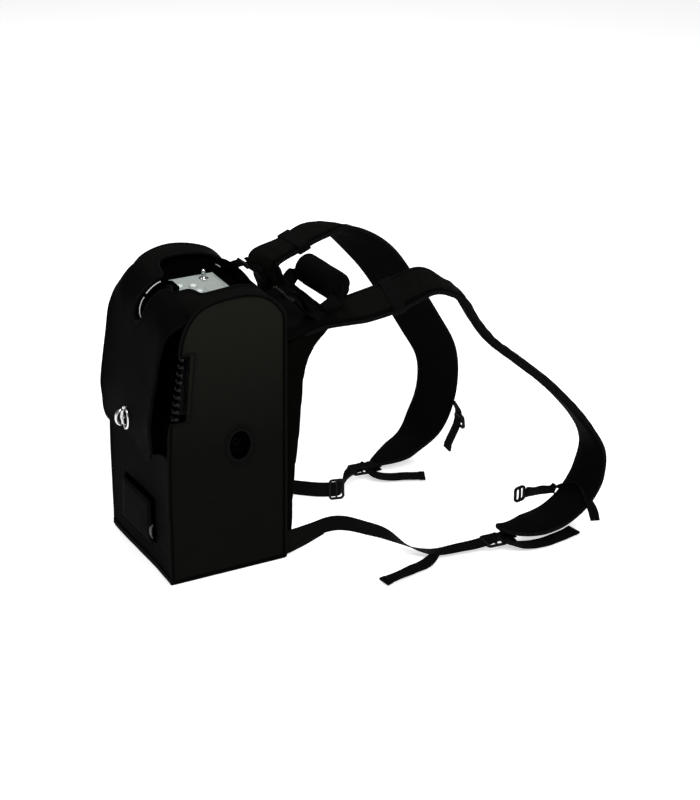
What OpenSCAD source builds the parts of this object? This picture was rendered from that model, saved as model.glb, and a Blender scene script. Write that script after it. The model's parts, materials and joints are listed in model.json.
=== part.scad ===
// Portable oxygen concentrator inside its wearable backpack case.
// Millimetres, +Z up. Origin: centre of the case's underside. The flap faces -Y, the harness +Y.

/* [Case] */
// Case width across the side panels
case_w = 212; // [208:1:218]
// Thickness of the padded side panels
panel_t = 3.5; // [3:0.1:3.5]
// Thickness of the front, base and back panels
wrap_t = 3; // [2:0.1:3.2]
// Half width of the window over the control panel
window_half = 65; // [64:0.5:68]
// Width of the slot for the nose rib
slot_w = 34; // [33:0.5:38]

/* [Flap] */
// Flap width
flap_w = 194; // [180:1:200]
// Height of the flap's lower edge
flap_z = 197; // [190:1:200]
// Corner radius of the flap
flap_r = 36; // [15:1:45]
// Flap thickness
flap_t = 3.5; // [2.5:0.1:4]

/* [Turn lock] */
// Height of the turn-lock axis
lock_z = 231; // [229:0.5:233]
// Post diameter
post_d = 5; // [4:0.1:5.2]
// Width and height of the eyelet plate
eyelet_size = [27, 42]; // [24:1:44]
// Knob loop height
knob_h = 24; // [18:0.5:25]

/* [Harness] */
// Shoulder pad width
strap_w = 65; // [55:1:68]
// Shoulder pad thickness
strap_t = 14; // [10:0.5:14]
// Webbing width
web_w = 25; // [20:0.5:25]
// Webbing thickness
web_t = 2; // [1.2:0.1:2.2]
// Grab handle diameter
grab_d = 44; // [30:1:46]
// Grab handle length
grab_l = 96; // [80:1:98]

/* [Concentrator] */
// Housing half width
shell_half = 98; // [96:0.5:98]
// Housing wall thickness
wall = 3; // [2:0.1:3.2]
// Height of the base tray's rim
tray_z = 26; // [24:1:27]
// Height of the joint between shells and top deck
deck_z = 391; // [389:1:392]
// Height of the recessed deck floor
floor_z = 412; // [411:0.5:412]
// Outlet nozzle radius
nozzle_r = 3; // [2.5:0.1:3.5]
// Power inlet bore radius
jack_r = 2.75; // [2.5:0.05:3]

/* [Hidden] */
$fn = 48;
half = case_w / 2;
gap = 0.1;
lock_y = -106.5;
hinge = [-45, 421];
knob_root = 110;
grab_p = [11, 205, 392];
grab_rot = [0, 0, 4];
ladder_r = [222, 396, 13];
ladder_r_az = 266;
ladder_l = [-77, 326, 13];
ladder_l_az = 264;
vent_z = [256, 356];
port = [23, 203];
fan_p = [0, 84, 120];
shaft_z = 158;
buttons = [[-2, -16], [5, 2], [28, 2]];
outlet = [-18, 28];

// Side outline of the case, from the front foot over the top to the back foot.
case_path = [[-88.5, 16], [-86, 60], [-82, 145], [-80, 249], [-75, 300], [-66, 350], [-57, 388],
  [-43, 411], [-25, 424], [5, 431], [44, 431], [74, 420], [94, 399], [99, 378], [98, 290],
  [96, 142], [94, 14]];
// Flap section, outer face, from the hinge line down.
flap_path = [hinge, [-70, 406], [-86, 377], [-94, 330], [-101, 292], [lock_y, 250], [lock_y, flap_z]];
// Top cover section, outer face, from the flap hinge line to the back seam.
cover_path = [[-44, 421], [-24, 430.5], [5, 436], [42, 434], [72, 422], [91, 402], [98, 382]];
// Nose rib section, outer face.
rib_path = [[-22, 422], [-42, 427], [-59, 420.5], [-70, 407], [-76, 390.5], [-74.5, 379], [-66, 368]];
// Back pad, face towards the wearer.
pad_path = [[114, 4], [118, 45], [122, 110], [129, 170], [133, 210], [137, 250], [140, 274],
  [148, 302], [162, 324], [178, 336]];

// Centre lines and width directions of the shoulder pads and webbings.
pad_r = [[57, 212, 351], [57, 242, 355], [60, 290, 364], [76, 338, 385], [88, 372, 374],
  [95, 390, 358], [103, 410, 322], [115, 432, 289], [135, 463, 261], [155, 512, 216],
  [175, 552, 166], [189, 572, 120], [200, 562, 80], [206, 543, 54], [210, 520, 36],
  [217, 488, 26], [226, 450, 26], [226, 415, 27], [224, 394, 31]];
pad_r_dir = [[1, 0, -0.15], [1, 0, -0.3], [1, 0, -0.35], [1, 0, -0.3], [1, -0.1, -0.1], [1, -0.2, 0],
  [1, -0.3, 0.1], [1, -0.3, 0.2], [1, -0.3, 0.2], [1, -0.3, 0.2], [1, -0.2, 0.2], [1, 0, 0.1],
  [1, 0.15, 0], [1, 0.2, 0], [1, 0.15, 0], [1, 0.1, 0], [1, 0.1, 0], [1, 0, 0], [1, 0, 0]];
pad_l = [[-76, 158, 380], [-86, 154, 397], [-86, 196, 413], [-90, 240, 427], [-98, 282, 422],
  [-100, 345, 370], [-100, 390, 306], [-100, 430, 240], [-100, 460, 184], [-100, 465, 131],
  [-100, 453, 82], [-98, 424, 42], [-92, 385, 22], [-80, 341, 16]];
pad_l_dir = [[1, 0.3, 0], [1, 0.3, 0], [1, 0, 0], [1, 0.1, 0], [0.9, 0.4, 0.2], [0.6, 0.7, 0.4],
  [0.5, 0.8, 0.3], [0.45, 0.87, 0.15], [0.45, 0.89, 0], [0.45, 0.89, 0], [0.55, 0.8, 0],
  [0.8, 0.4, 0.1], [1, 0.1, 0], [1, 0.1, 0]];
low_r = [[106, 176, 38], [126, 206, 35], [152, 238, 26], [184, 262, 16], [206, 292, 9], [214, 362, 10]];
low_r_dir = [[0, 0, 1], [0, 0, 1], [0.2, -0.3, 1], [0.4, -0.7, 0.7], [1, -0.3, 0.1], [1, 0, 0]];
tail_r = [[246, 405, 4.5], [247, 436, 4.2], [244, 474, 4.2], [238, 514, 5]];
loose_r = [[228, 262, 5], [233, 235, 4.2], [238, 212, 4.2], [242, 188, 5]];
low_l = [[-66, 160, 26], [-50, 188, 22], [-36, 219, 18]];
low_l_b = [[-32, 262, 17], [-44, 272, 16], [-57, 278, 14.5], [-70, 280, 13]];
tail_l = [[-50, 318, 8], [-44, 345, 7], [-34, 375, 6], [-24, 400, 5]];
flat_dir = [1, 0, 0];

// ---------- helpers ----------
function arc(cy, cz, ry, rz, a0, a1, n) =
  [for (i = [0:n]) let (a = a0 + (a1 - a0) * i / n) [cy + ry * cos(a), cz + rz * sin(a)]];

function unit(v) = v / norm(v);
function at(P, i) = P[max(0, min(len(P) - 1, i))];
function catmull(a, b, c, d, t) =
  0.5 * (2 * b + (c - a) * t + (2 * a - 5 * b + 4 * c - d) * t * t
  + (3 * b - a - 3 * c + d) * t * t * t);
// Smooth path through the points P, n steps between neighbours.
function smooth(P, n) = concat(
  [for (i = [0:len(P) - 2], k = [0:n - 1])
    catmull(at(P, i - 1), P[i], P[i + 1], at(P, i + 2), k / n)],
  [P[len(P) - 1]]);
// Flat path moved sideways by t, to the right of its direction.
function shifted(P, t) = [for (i = [0:len(P) - 1])
  let (d = unit(at(P, i + 1) - at(P, i - 1))) P[i] + t * [d[1], -d[0]]];
// Closed side profile of the case, inset by t.
function profile(t) = concat([[-86 + t, t], [-90.5 + t, 3 + t]], shifted(smooth(case_path, 3), t),
  [[94 - t, 4 + t], [91 - t, t]]);
function reversed(P) = [for (i = [len(P) - 1:-1:0]) P[i]];

// Extrude a Y-Z outline along X.
module yz(x0, x1) { translate([x0, 0, 0]) rotate([90, 0, 90]) linear_extrude(x1 - x0) children(); }
// Extrude an X-Z outline along Y.
module xz(y0, y1) { translate([0, y1, 0]) rotate([90, 0, 0]) linear_extrude(y1 - y0) children(); }
module box(lo, hi) { translate(lo) cube(hi - lo); }
// Sheet of thickness t following a Y-Z path, lying on its right-hand side.
module sheet(P, t, x0, x1, lift = 0) {
  s = smooth(P, 5);
  yz(x0, x1) polygon(concat(shifted(s, lift), reversed(shifted(s, lift + t))));
}
module rounded(size, r) {
  for (x = [-1, 1]) translate([x * (size[0] / 2 - r), 0]) square([2 * r - gap, size[1] - 2 * r], true);
  square([size[0] - 2 * r, size[1]], true);
  for (x = [-1, 1], y = [-1, 1]) translate([x * (size[0] / 2 - r), y * (size[1] / 2 - r)]) circle(r);
}
module both() { children(); mirror([1, 0, 0]) children(); }

// Flat or padded band along a 3-D path. P centre line, W width directions, w width, t thickness,
// c edge chamfer, tip the share of the width left at the far end.
module band(P, W, w, t, c = 0.4, n = 3, tip = 1) {
  C = smooth(P, n);
  D = smooth(W, n);
  m = len(C) - 1;
  x = w / 2;
  z = t / 2;
  ring = [[x, -z + c], [x, z - c], [x - c, z], [-x + c, z],
    [-x, z - c], [-x, -z + c], [-x + c, -z], [x - c, -z]];
  pts = [for (i = [0:m])
    let (f = unit(at(C, i + 1) - at(C, i - 1)),
      s = unit(D[i] - f * (D[i] * f)),
      u = cross(f, s),
      k = i > m - n ? 1 - (1 - tip) * (i - m + n) / n : 1)
    for (r = ring) C[i] + s * (r[0] * k) + u * r[1]];
  sides = [for (i = [0:m - 1], j = [0:7])
    let (a = 8 * i + j, b = 8 * i + (j + 1) % 8) [a, b, b + 8]];
  more = [for (i = [0:m - 1], j = [0:7])
    let (a = 8 * i + j, b = 8 * i + (j + 1) % 8) [a, b + 8, a + 8]];
  ends = [[for (j = [7:-1:0]) j], [for (j = [0:7]) 8 * m + j]];
  polyhedron(pts, concat(sides, more, ends), convexity = 8);
}
function same(v, P) = [for (p = P) v];

// ---------- case ----------
module vent_outline(grow) {
  polygon([[-110, vent_z[0] - grow], [-52 + grow, vent_z[0] - grow],
    [-41 + grow, vent_z[1] + grow], [-110, vent_z[1] + grow]]);
}
module port_outline(dy, dz) {
  polygon([for (a = [0:10:350]) [port[0] + dy / 2 * cos(a), port[1] + dz / 2 * sin(a)]]);
}
module side_panel() {
  yz(half - panel_t, half) difference() { polygon(profile(0)); vent_outline(0); }
}
module side_panel_right() {
  color("#1b1b1d") difference() { side_panel(); yz(half - 9, half + 9) port_outline(36, 48); }
}
module side_panel_left() { color("#1b1b1d") mirror([1, 0, 0]) side_panel(); }
module wrap(z0, z1, y0, y1) {
  intersection() {
    yz(-half + panel_t + gap, half - panel_t - gap)
      difference() { polygon(profile(0)); polygon(profile(wrap_t)); }
    box([-half, y0, z0], [half, y1, z1]);
  }
}
module front_panel() {
  color("#151516") difference() {
    wrap(13, 262, -100, -60);
    xz(-100, -60) for (x = [-1, 1]) polygon([[x * 30, 263], [x * 120, 263], [x * 120, 228], [x * 75, 230]]);
    box([-60, -99, 37], [50, -60, 114]);
  }
}
module base_panel() { color("#151516") wrap(-1, 13 - gap, -101, 101); }
module back_panel() { color("#151516") wrap(13, 384, 60, 101); }
module window(grow) {
  box([-window_half - grow, -29 - grow, 370], [window_half + grow, 77 + grow, 450]);
}
module top_cover() {
  color("#1b1b1d") difference() {
    sheet(cover_path, wrap_t, -half + panel_t + gap, half - panel_t - gap);
    window(0);
    box([-slot_w / 2, -60, 370], [slot_w / 2, 0, 450]);
    box([-half, 80, 370], [half, 110, 384 + gap]);
  }
}
module edge_piping() {
  color("#262628") both() yz(half + gap, half + 2.6)
    difference() { polygon(profile(0)); polygon(profile(4)); vent_outline(0.5); }
}
module opening_bindings() {
  color("#2c2c2e") {
    difference() {
      intersection() { sheet(cover_path, wrap_t + 2, -half, half, -1); window(-gap); }
      window(-4);
      box([-slot_w / 2, -60, 370], [slot_w / 2, 0, 450]);
    }
    both() yz(half + gap, half + 1.6) intersection() {
      difference() { vent_outline(4); vent_outline(0); }
      polygon(profile(4 + gap));
    }
    yz(half + gap, half + 1.6) difference() { port_outline(46, 62); port_outline(36, 48); }
  }
}
module lock_base() {
  color("#b9bcc0") translate([0, 0, lock_z]) rotate([90, 0, 0]) {
    translate([0, 0, 81]) cylinder(r = 11, h = 3);
    translate([0, 0, 81]) cylinder(r = 8, h = 16);
    translate([0, 0, 81]) cylinder(d = post_d, h = knob_root - 81 - gap);
  }
}

// ---------- flap ----------
module flap() {
  color("#151516") difference() {
    intersection() {
      sheet(flap_path, flap_t, -flap_w / 2, flap_w / 2, -flap_t);
      xz(-120, -40) union() {
        translate([0, 350]) square([flap_w, 310], true);
        translate([0, flap_z + 60]) rounded([flap_w, 120], flap_r);
      }
    }
    box([-slot_w / 2, -120, 390], [slot_w / 2, 0, 450]);
    xz(-120, -60) translate([0, 390]) circle(slot_w / 2);
    lock_slot(8, 34);
  }
}
// The slot runs lower than the knob, because the flap rises a little as it swings off the post.
module lock_slot(w, h) {
  xz(-125, -100) translate([0, lock_z - 2]) hull()
    for (s = [-1, 1]) translate([0, s * (h - w) / 2]) circle(w / 2);
}
module lock_eyelet() {
  color("#c6c9cc") difference() {
    xz(lock_y - 2.4, lock_y - 0.7) polygon([for (a = [0:10:350])
      [eyelet_size[0] / 2 * cos(a), lock_z - 2 + eyelet_size[1] / 2 * sin(a)]]);
    lock_slot(6.6, 33);
  }
}
module lock_knob() {
  color("#d5d8da") translate([0, -knob_root, lock_z]) {
    rotate([0, 90, 0]) difference() {
      translate([0, -1, 0]) cylinder(d = knob_h, h = 4.5, center = true);
      translate([0, -1, 0]) cylinder(d = knob_h - 9, h = 9, center = true);
      translate([0, 20, 0]) cube([40, 40, 9], center = true);
    }
    translate([0, -2, 0]) cube([4.5, 4, knob_h - 3], center = true);
  }
}

// ---------- access cover ----------
module access_cover() { color("#19191a") box([-56.5, -88, 40], [46.5, -85.5, 111]); }
module access_tab() { color("#8d9092") box([34, -90, 48], [44, -88 - gap, 70]); }

// ---------- harness on the case ----------
module back_pad() {
  s = smooth(pad_path, 4);
  color("#18181a") yz(-90, 90)
    polygon(concat([[96.5, 4], [100.5, 322], [106, 336], [130, 338], [160, 340]], reversed(s)));
}
module strap_yoke() {
  color("#18181a") difference() {
    sheet([[104, 338.5], [132, 341], [160, 343], [196, 350]], 13, -92, 90, -13);
    box([-160, 183, 300], [10, 230, 400]);
  }
}
module fixed_webbing() {
  color("#202022") {
    for (x = [-64, 64]) {
      band([[x, 100, 405], [x, 103, 408], [x, 107, 408]], same(flat_dir, [0, 0, 0]), web_w, web_t);
      band([[x, 128, 391], [x, 144, 374], [x, 152, 360]], same(flat_dir, [0, 0, 0]), web_w, web_t);
    }
    band([[98, 100, 22], [99, 122, 26], [100, 150, 32]], same([0, 0, 1], [0, 0, 0]), web_w, web_t);
    band([[-96, 100, 24], [-96, 118, 26], [-90, 138, 27]], same([0, 0, 1], [0, 0, 0]), web_w, web_t);
    for (x = [-1, 1]) band([[x * 44, 166, 363.6], [x * 60, 167, 364], [x * 72, 169, 366]],
      same([0, 1, 0], [0, 0, 0]), 18, web_t);
  }
}
module frame(w, l, t, bars, bar) {
  difference() {
    cube([w, l, t], center = true);
    for (i = [0:bars - 2])
      translate([0, -l / 2 + bar + (i + 0.5) * (l - bar) / (bars - 1) - bar / 2, 0])
        cube([w - 6, (l - bar) / (bars - 1) - bar, 2 * t], center = true);
  }
}
module lifter_buckles() {
  color("#2e2e30") for (x = [-64, 64])
    translate([x, 117, 401]) rotate([-40, 0, 0]) frame(32, 22, 4, 3, 3.5);
}
module grab_handle() {
  color("#1a1a1c") translate(grab_p) rotate(grab_rot) rotate([0, 90, 0]) {
    cylinder(d = grab_d, h = grab_l - 20, center = true);
    for (s = [0, 1]) mirror([0, 0, s]) translate([0, 0, grab_l / 2 - 10 - gap])
      cylinder(d1 = grab_d, d2 = grab_d - 16, h = 10 + gap);
  }
}

// ---------- shoulder straps ----------
module strap_pad_right() { color("#18181a") band(pad_r, pad_r_dir, strap_w, strap_t, 4, 3, 0.3); }
module strap_pad_left() { color("#18181a") band(pad_l, pad_l_dir, strap_w, strap_t, 4, 3, 0.3); }
// Flat band laid round a shoulder pad, i steps along its path.
module keeper(P, W, i) {
  C = smooth(P, 3);
  f = unit(C[i + 1] - C[i - 1]);
  d = smooth(W, 3)[i];
  side = unit(d - f * (d * f));
  up = cross(f, side);
  multmatrix([for (k = [0:2]) [side[k], f[k], up[k], C[i][k]]]) difference() {
    cube([strap_w + 6, web_w, strap_t + 7], center = true);
    cube([strap_w + 3, web_w + 2, strap_t + 4], center = true);
  }
}
// Each side's keeper band and the sewn loop at the pad's tip that holds the ladder lock.
module keeper_right() {
  color("#202022") { keeper(pad_r, pad_r_dir, 5); ladder_loop(ladder_r, ladder_r_az); }
}
module keeper_left() {
  color("#202022") { keeper(pad_l, pad_l_dir, 7); ladder_loop(ladder_l, ladder_l_az); }
}
module lower_webbing_right() {
  color("#202022") {
    band(low_r, low_r_dir, web_w, web_t);
    band(tail_r, same([1, 0, 0], tail_r), web_w, web_t);
    band(loose_r, same([1, 0.2, 0], loose_r), web_w, web_t);
  }
}
module lower_webbing_left() {
  color("#202022") {
    band(low_l, same([0, 0, 1], low_l), web_w, web_t);
    band(low_l_b, [[0, 0, 1], [0.2, 0.2, 1], [0.6, 0.6, 0.5], [0.9, 0.4, 0]], web_w, web_t);
    band(tail_l, same(flat_dir, tail_l), web_w, web_t);
  }
}
// Webbing loop round the ladder lock's first bar, and the ladder lock itself.
module ladder_loop(p, az) {
  translate(p) rotate([0, 0, az]) rotate([90, 0, 0]) difference() {
    cylinder(r = 4.4, h = 22, center = true);
    cylinder(r = 2.05, h = 30, center = true);
  }
}
module ladder(p, az) {
  translate(p) rotate([0, 0, az]) {
    rotate([90, 0, 0]) cylinder(r = 2, h = 30, center = true);
    for (s = [-1, 1]) translate([13, s * 14, 0]) cube([30, 4, 4], center = true);
    for (x = [14, 26]) translate([x, 0, 0]) cube([3.5, 28, 4], center = true);
  }
}
module ladder_lock_right() { color("#2e2e30") ladder(ladder_r, ladder_r_az); }
module ladder_lock_left() { color("#2e2e30") ladder(ladder_l, ladder_l_az); }
module tri_glide_left() {
  color("#2e2e30") translate([-28, 245, 17]) rotate([0, 0, 75]) rotate([90, 0, 0]) rotate([0, 0, 90])
    frame(32, 20, 4, 3, 3.5);
}
module sternum_webbing_right() {
  color("#202022") {
    band([[166, 519, 41], [168, 500, 46], [173, 482, 49], [177, 467, 52]],
      same([0.2, 0, 1], [0, 0, 0, 0]), 20, web_t);
    band([[252, 539, 38], [262, 540, 30], [268, 540, 21]], same([0, 1, 0], [0, 0, 0]), 20, web_t);
  }
}
module sternum_buckle_right() {
  color("#2e2e30") translate([179, 454, 55]) rotate([0, 0, 12]) cube([5, 22, 22], center = true);
}
module sternum_webbing_left() {
  color("#202022") band([[-70, 488, 80], [-68, 482, 60], [-70, 476, 38], [-72, 470, 18]],
    same(flat_dir, [0, 0, 0, 0]), 20, web_t);
}
module sternum_buckle_left() {
  color("#2e2e30") translate([-68, 491, 62]) cube([24, 6, 22], center = true);
}

// ---------- concentrator housing ----------
module shell_solid(t, x) { yz(-x, x) polygon(profile(t)); }
module shell(z0, z1, y0, y1) {
  intersection() {
    difference() { shell_solid(7, shell_half); shell_solid(7 + wall, shell_half - wall); }
    box([-100, y0, z0], [100, y1, z1]);
  }
}
module housing_front() {
  color("#101011") difference() {
    shell(tray_z + gap, deck_z, -90, -gap);
    box([-50, -90, 45], [40, -70, 106]);
    both() yz(90, 100) intersection() { vent_outline(-1); polygon(profile(12)); }
  }
}
module housing_rear() {
  color("#101011") difference() {
    shell(tray_z + gap, deck_z, 0, 90);
    yz(90, 100) port_outline(32.2, 32.2);
    translate(fan_p) rotate([90, 0, 0]) cylinder(r = 34, h = 20, center = true);
  }
}
module base_tray() {
  color("#101011") difference() {
    shell(0, tray_z, -90, 90);
    for (x = [-70, 70], y = [-60, 60]) translate([x, y, 0]) cylinder(d = 6, h = 20);
  }
}
module top_deck() {
  color("#101011") difference() {
    union() {
      shell(deck_z + gap, 430, -90, 90);
      intersection() {
        shell_solid(7.5, shell_half - 1);
        box([-63, -33, floor_z - 16], [63, 86, 430]);
      }
    }
    box([-60, -29, floor_z], [60, 78, 440]);
    box([-60, -29, floor_z - 12], [-36, 48, 440]);
    translate([outlet[0], outlet[1], 380]) cylinder(r = 4, h = 40);
    for (b = buttons) translate([b[0], b[1], 380]) cylinder(r = 3.1, h = 40);
  }
}
module feet() {
  color("#1f1f20") for (x = [-70, 70], y = [-60, 60]) translate([x, y, 3 + gap]) {
    cylinder(d = 16, h = 3.8);
    cylinder(d = 5.8, h = 6.6);
  }
}
module carry_handle() {
  outer = concat([[-59, floor_z + gap], [-59, 427]], reversed(arc(0, 427, 59, 15, 10, 170, 14)),
    [[59, 427], [59, floor_z + gap]]);
  inner = concat([[47, floor_z - 1], [47, 424]], arc(0, 424, 47, 8, 10, 170, 14),
    [[-47, 424], [-47, floor_z - 1]]);
  color("#0d0d0e") xz(53, 73) difference() { polygon(outer); polygon(inner); }
}
module nose_rib() {
  color("#0d0d0e") yz(-15, 15) difference() {
    polygon(concat(smooth(rib_path, 5), [[-50, 366], [-22, 400]]));
    polygon(profile(7 - gap));
  }
}
module control_panel() {
  color("#98a29d") difference() {
    box([-33, -26, floor_z + gap], [58, 48, floor_z + 2]);
    for (b = buttons) translate([b[0], b[1], 380]) cylinder(r = 5.6, h = 40);
    translate([outlet[0], outlet[1], 380]) cylinder(r = 7.4, h = 40);
  }
}
module button(i) {
  color("#c9ccce") translate([buttons[i][0], buttons[i][1], 0]) {
    translate([0, 0, floor_z + 1.6]) cylinder(r = 5.2, h = 1.8);
    translate([0, 0, floor_z + 3.4]) cylinder(r1 = 5.2, r2 = 3.6, h = 0.9);
    translate([0, 0, floor_z - 7]) cylinder(r = 2.8, h = 9);
  }
}
module button_left() { button(0); }
module button_centre() { button(1); }
module button_right() { button(2); }
module outlet_nozzle() {
  color("#c9ccce") translate([outlet[0], outlet[1], 0]) {
    translate([0, 0, floor_z + gap]) cylinder(r = 7, h = 2.4);
    translate([0, 0, floor_z - 10]) cylinder(r = 3.8, h = 11);
    translate([0, 0, floor_z + 2]) cylinder(r = nozzle_r, h = 13);
  }
}
module power_inlet() {
  color("#0d0d0e") translate([84, port[0], port[1]]) rotate([0, 90, 0]) {
    difference() { cylinder(r = 16, h = 14); translate([0, 0, 2]) cylinder(r = 14.5, h = 20); }
    difference() { cylinder(r = 6, h = 11); translate([0, 0, 1]) cylinder(r = jack_r, h = 20); }
  }
}
module louvres() {
  color("#0d0d0e") both() {
    yz(98 + gap, 100) difference() {
      intersection() { vent_outline(-0.5); polygon(profile(1.5)); }
      intersection() { vent_outline(-5); polygon(profile(6)); }
    }
    intersection() {
      for (i = [0:8]) box([99, -90, vent_z[0] + 4 + i * 11], [104.5, -44, vent_z[0] + 9 + i * 11]);
      yz(90, 110) intersection() { translate([-12, 0]) vent_outline(-0.5); polygon(profile(1.5)); }
    }
  }
}
module shell_screws() {
  color("#808386") for (x = [-80, 80], p = [[88, 60], [90.5, 230], [92, 340]])
    translate([x, p[0], p[1]]) rotate([-90, 0, 0]) cylinder(r = 3, h = 1.6);
}

// ---------- inside the concentrator ----------
module battery_pack() { color("#2b3036") box([-75, -60, tray_z + 3], [75, 62, 96]); }
module chassis_plate() {
  color("#9a9da0") difference() {
    box([-92, -68, 100], [92, 62, 103]);
    translate([0, 0, 90]) cylinder(r = 10, h = 30);
  }
}
module compressor() {
  color("#8f9296") difference() {
    union() {
      translate([0, 0, shaft_z]) rotate([90, 0, 0]) cylinder(r = 30, h = 76, center = true);
      for (x = [-62, 22]) box([x, -16, shaft_z - 16], [x + 40, 16, shaft_z + 16]);
      for (x = [-28, 20], y = [-34, 26]) box([x, y, 103 + gap], [x + 8, y + 8, shaft_z - 14]);
    }
    translate([0, 0, shaft_z]) rotate([90, 0, 0]) cylinder(r = 24, h = 60, center = true);
    translate([0, 0, shaft_z]) rotate([90, 0, 0]) cylinder(r = 4.05, h = 90, center = true);
  }
}
module crankshaft() {
  color("#b0b3b6") translate([0, 0, shaft_z]) rotate([90, 0, 0]) {
    cylinder(r = 4, h = 84, center = true);
    cylinder(r = 14, h = 30, center = true);
    for (s = [-1, 1]) translate([6, 0, s * 21]) cylinder(r = 12, h = 6, center = true);
  }
}
module sieve_beds() {
  color("#a8abae") for (x = [-62, 62]) translate([x, -10, 0]) {
    translate([0, 0, 215]) cylinder(d = 50, h = 150);
    for (z = [209, 365]) translate([0, 0, z]) cylinder(d = 56, h = 6);
  }
}
module product_tank() {
  color("#a8abae") translate([0, -26, 225]) {
    cylinder(d = 44, h = 130);
    translate([0, 0, 130]) cylinder(d = 14, h = 8);
  }
}
module valve_manifold() { color("#3a3f45") box([-58, 24, 196], [30, 52, 226]); }
module solenoid_valves() {
  color("#5a5f64") for (i = [0:3]) translate([-48 + 20 * i, 38, 226 + gap]) {
    cylinder(d = 16, h = 22);
    translate([0, 0, 22]) cylinder(d = 6, h = 4);
  }
}
module circuit_board() { color("#1f4a36") box([-70, 58, 196], [70, 60, 376]); }
module fan_frame() {
  color("#141415") difference() {
    translate(fan_p - [0, 14, 0]) cube([74, 12, 74], center = true);
    translate(fan_p - [0, 14, 0]) rotate([90, 0, 0]) difference() {
      cylinder(r = 34, h = 20, center = true);
      for (a = [0, 90]) rotate([0, 0, a]) cube([70, 4, 8], center = true);
      cylinder(r = 4, h = 20, center = true);
    }
    translate(fan_p - [0, 14, 0]) rotate([90, 0, 0]) cylinder(r = 2.05, h = 30, center = true);
  }
}
module fan_rotor() {
  color("#2a2a2b") translate(fan_p) rotate([90, 0, 0]) {
    translate([0, 0, -1]) cylinder(r = 12, h = 6);
    for (i = [0:6]) rotate([0, 0, i * 360 / 7]) translate([10, -4, -1]) cube([21, 8, 5]);
    cylinder(r = 2, h = 19);
  }
}
module intake_filter() { color("#3b3b3d") box([-48, -79, 47], [38, -70, 104]); }
module tubing() {
  color("#6f7478") {
    for (x = [-62, 62]) translate([x, -10, 371 + gap]) cylinder(d = 7, h = 8);
    translate([outlet[0], outlet[1], 372]) cylinder(d = 7, h = floor_z - 383);
    translate([45, 38, 190]) rotate_extrude(angle = 180) translate([12, 0]) circle(d = 7);
  }
}

side_panel_right();
side_panel_left();
front_panel();
base_panel();
back_panel();
top_cover();
edge_piping();
opening_bindings();
lock_base();
flap();
lock_eyelet();
lock_knob();
access_cover();
access_tab();
back_pad();
strap_yoke();
fixed_webbing();
lifter_buckles();
grab_handle();
strap_pad_right();
keeper_right();
lower_webbing_right();
sternum_webbing_right();
sternum_buckle_right();
ladder_lock_right();
strap_pad_left();
keeper_left();
lower_webbing_left();
tri_glide_left();
sternum_webbing_left();
sternum_buckle_left();
ladder_lock_left();
housing_front();
housing_rear();
base_tray();
top_deck();
feet();
carry_handle();
nose_rib();
control_panel();
button_left();
button_centre();
button_right();
outlet_nozzle();
power_inlet();
louvres();
shell_screws();
battery_pack();
chassis_plate();
compressor();
crankshaft();
sieve_beds();
product_tank();
valve_manifold();
solenoid_valves();
circuit_board();
fan_frame();
fan_rotor();
intake_filter();
tubing();
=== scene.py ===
"""Looks of the oxygen concentrator in its backpack case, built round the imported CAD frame."""

import json
import math

import bmesh
import bpy
import numpy as np
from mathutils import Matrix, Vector, noise

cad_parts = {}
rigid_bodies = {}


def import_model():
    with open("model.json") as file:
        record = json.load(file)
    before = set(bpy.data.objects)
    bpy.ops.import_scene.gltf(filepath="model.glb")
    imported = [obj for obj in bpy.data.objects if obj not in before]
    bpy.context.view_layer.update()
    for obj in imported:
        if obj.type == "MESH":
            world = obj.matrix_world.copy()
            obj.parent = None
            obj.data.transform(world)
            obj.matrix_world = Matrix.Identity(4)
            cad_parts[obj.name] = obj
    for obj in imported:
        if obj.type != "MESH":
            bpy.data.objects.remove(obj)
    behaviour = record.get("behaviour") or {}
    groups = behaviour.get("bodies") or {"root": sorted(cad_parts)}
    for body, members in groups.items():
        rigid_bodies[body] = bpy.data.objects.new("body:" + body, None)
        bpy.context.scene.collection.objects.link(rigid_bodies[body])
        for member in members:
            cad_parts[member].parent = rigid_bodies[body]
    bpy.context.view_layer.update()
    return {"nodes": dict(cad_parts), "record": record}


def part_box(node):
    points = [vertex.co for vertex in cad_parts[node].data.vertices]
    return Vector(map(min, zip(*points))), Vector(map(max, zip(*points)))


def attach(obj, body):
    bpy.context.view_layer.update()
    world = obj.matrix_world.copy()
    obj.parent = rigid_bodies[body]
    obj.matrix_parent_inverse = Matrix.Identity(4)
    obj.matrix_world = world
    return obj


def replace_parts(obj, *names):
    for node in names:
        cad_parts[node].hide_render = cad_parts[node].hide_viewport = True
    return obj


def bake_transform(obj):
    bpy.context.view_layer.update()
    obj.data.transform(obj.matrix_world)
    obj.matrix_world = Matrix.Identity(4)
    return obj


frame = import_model()
nodes = frame["nodes"]
MM = 0.001
ACROSS, UPRIGHT = (1, 0, 0), (0, 0, 1)


# ---------------------------------------------------------------- materials
MATS = {}


def material(name):
    m = bpy.data.materials.new(name)
    m.use_nodes = True
    t = m.node_tree
    return m, t, t.nodes["Principled BSDF"]


def add(t, kind, **values):
    n = t.nodes.new(kind)
    for key, value in values.items():
        if key in n.inputs:
            n.inputs[key].default_value = value
        else:
            setattr(n, key, value)
    return n


def math_node(t, op, a, b=None, c=None):
    n = t.nodes.new("ShaderNodeMath")
    n.operation = op
    for i, x in enumerate((a, b, c)):
        if x is None:
            continue
        if isinstance(x, (int, float)):
            n.inputs[i].default_value = x
        else:
            t.links.new(x, n.inputs[i])
    return n.outputs[0]


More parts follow.
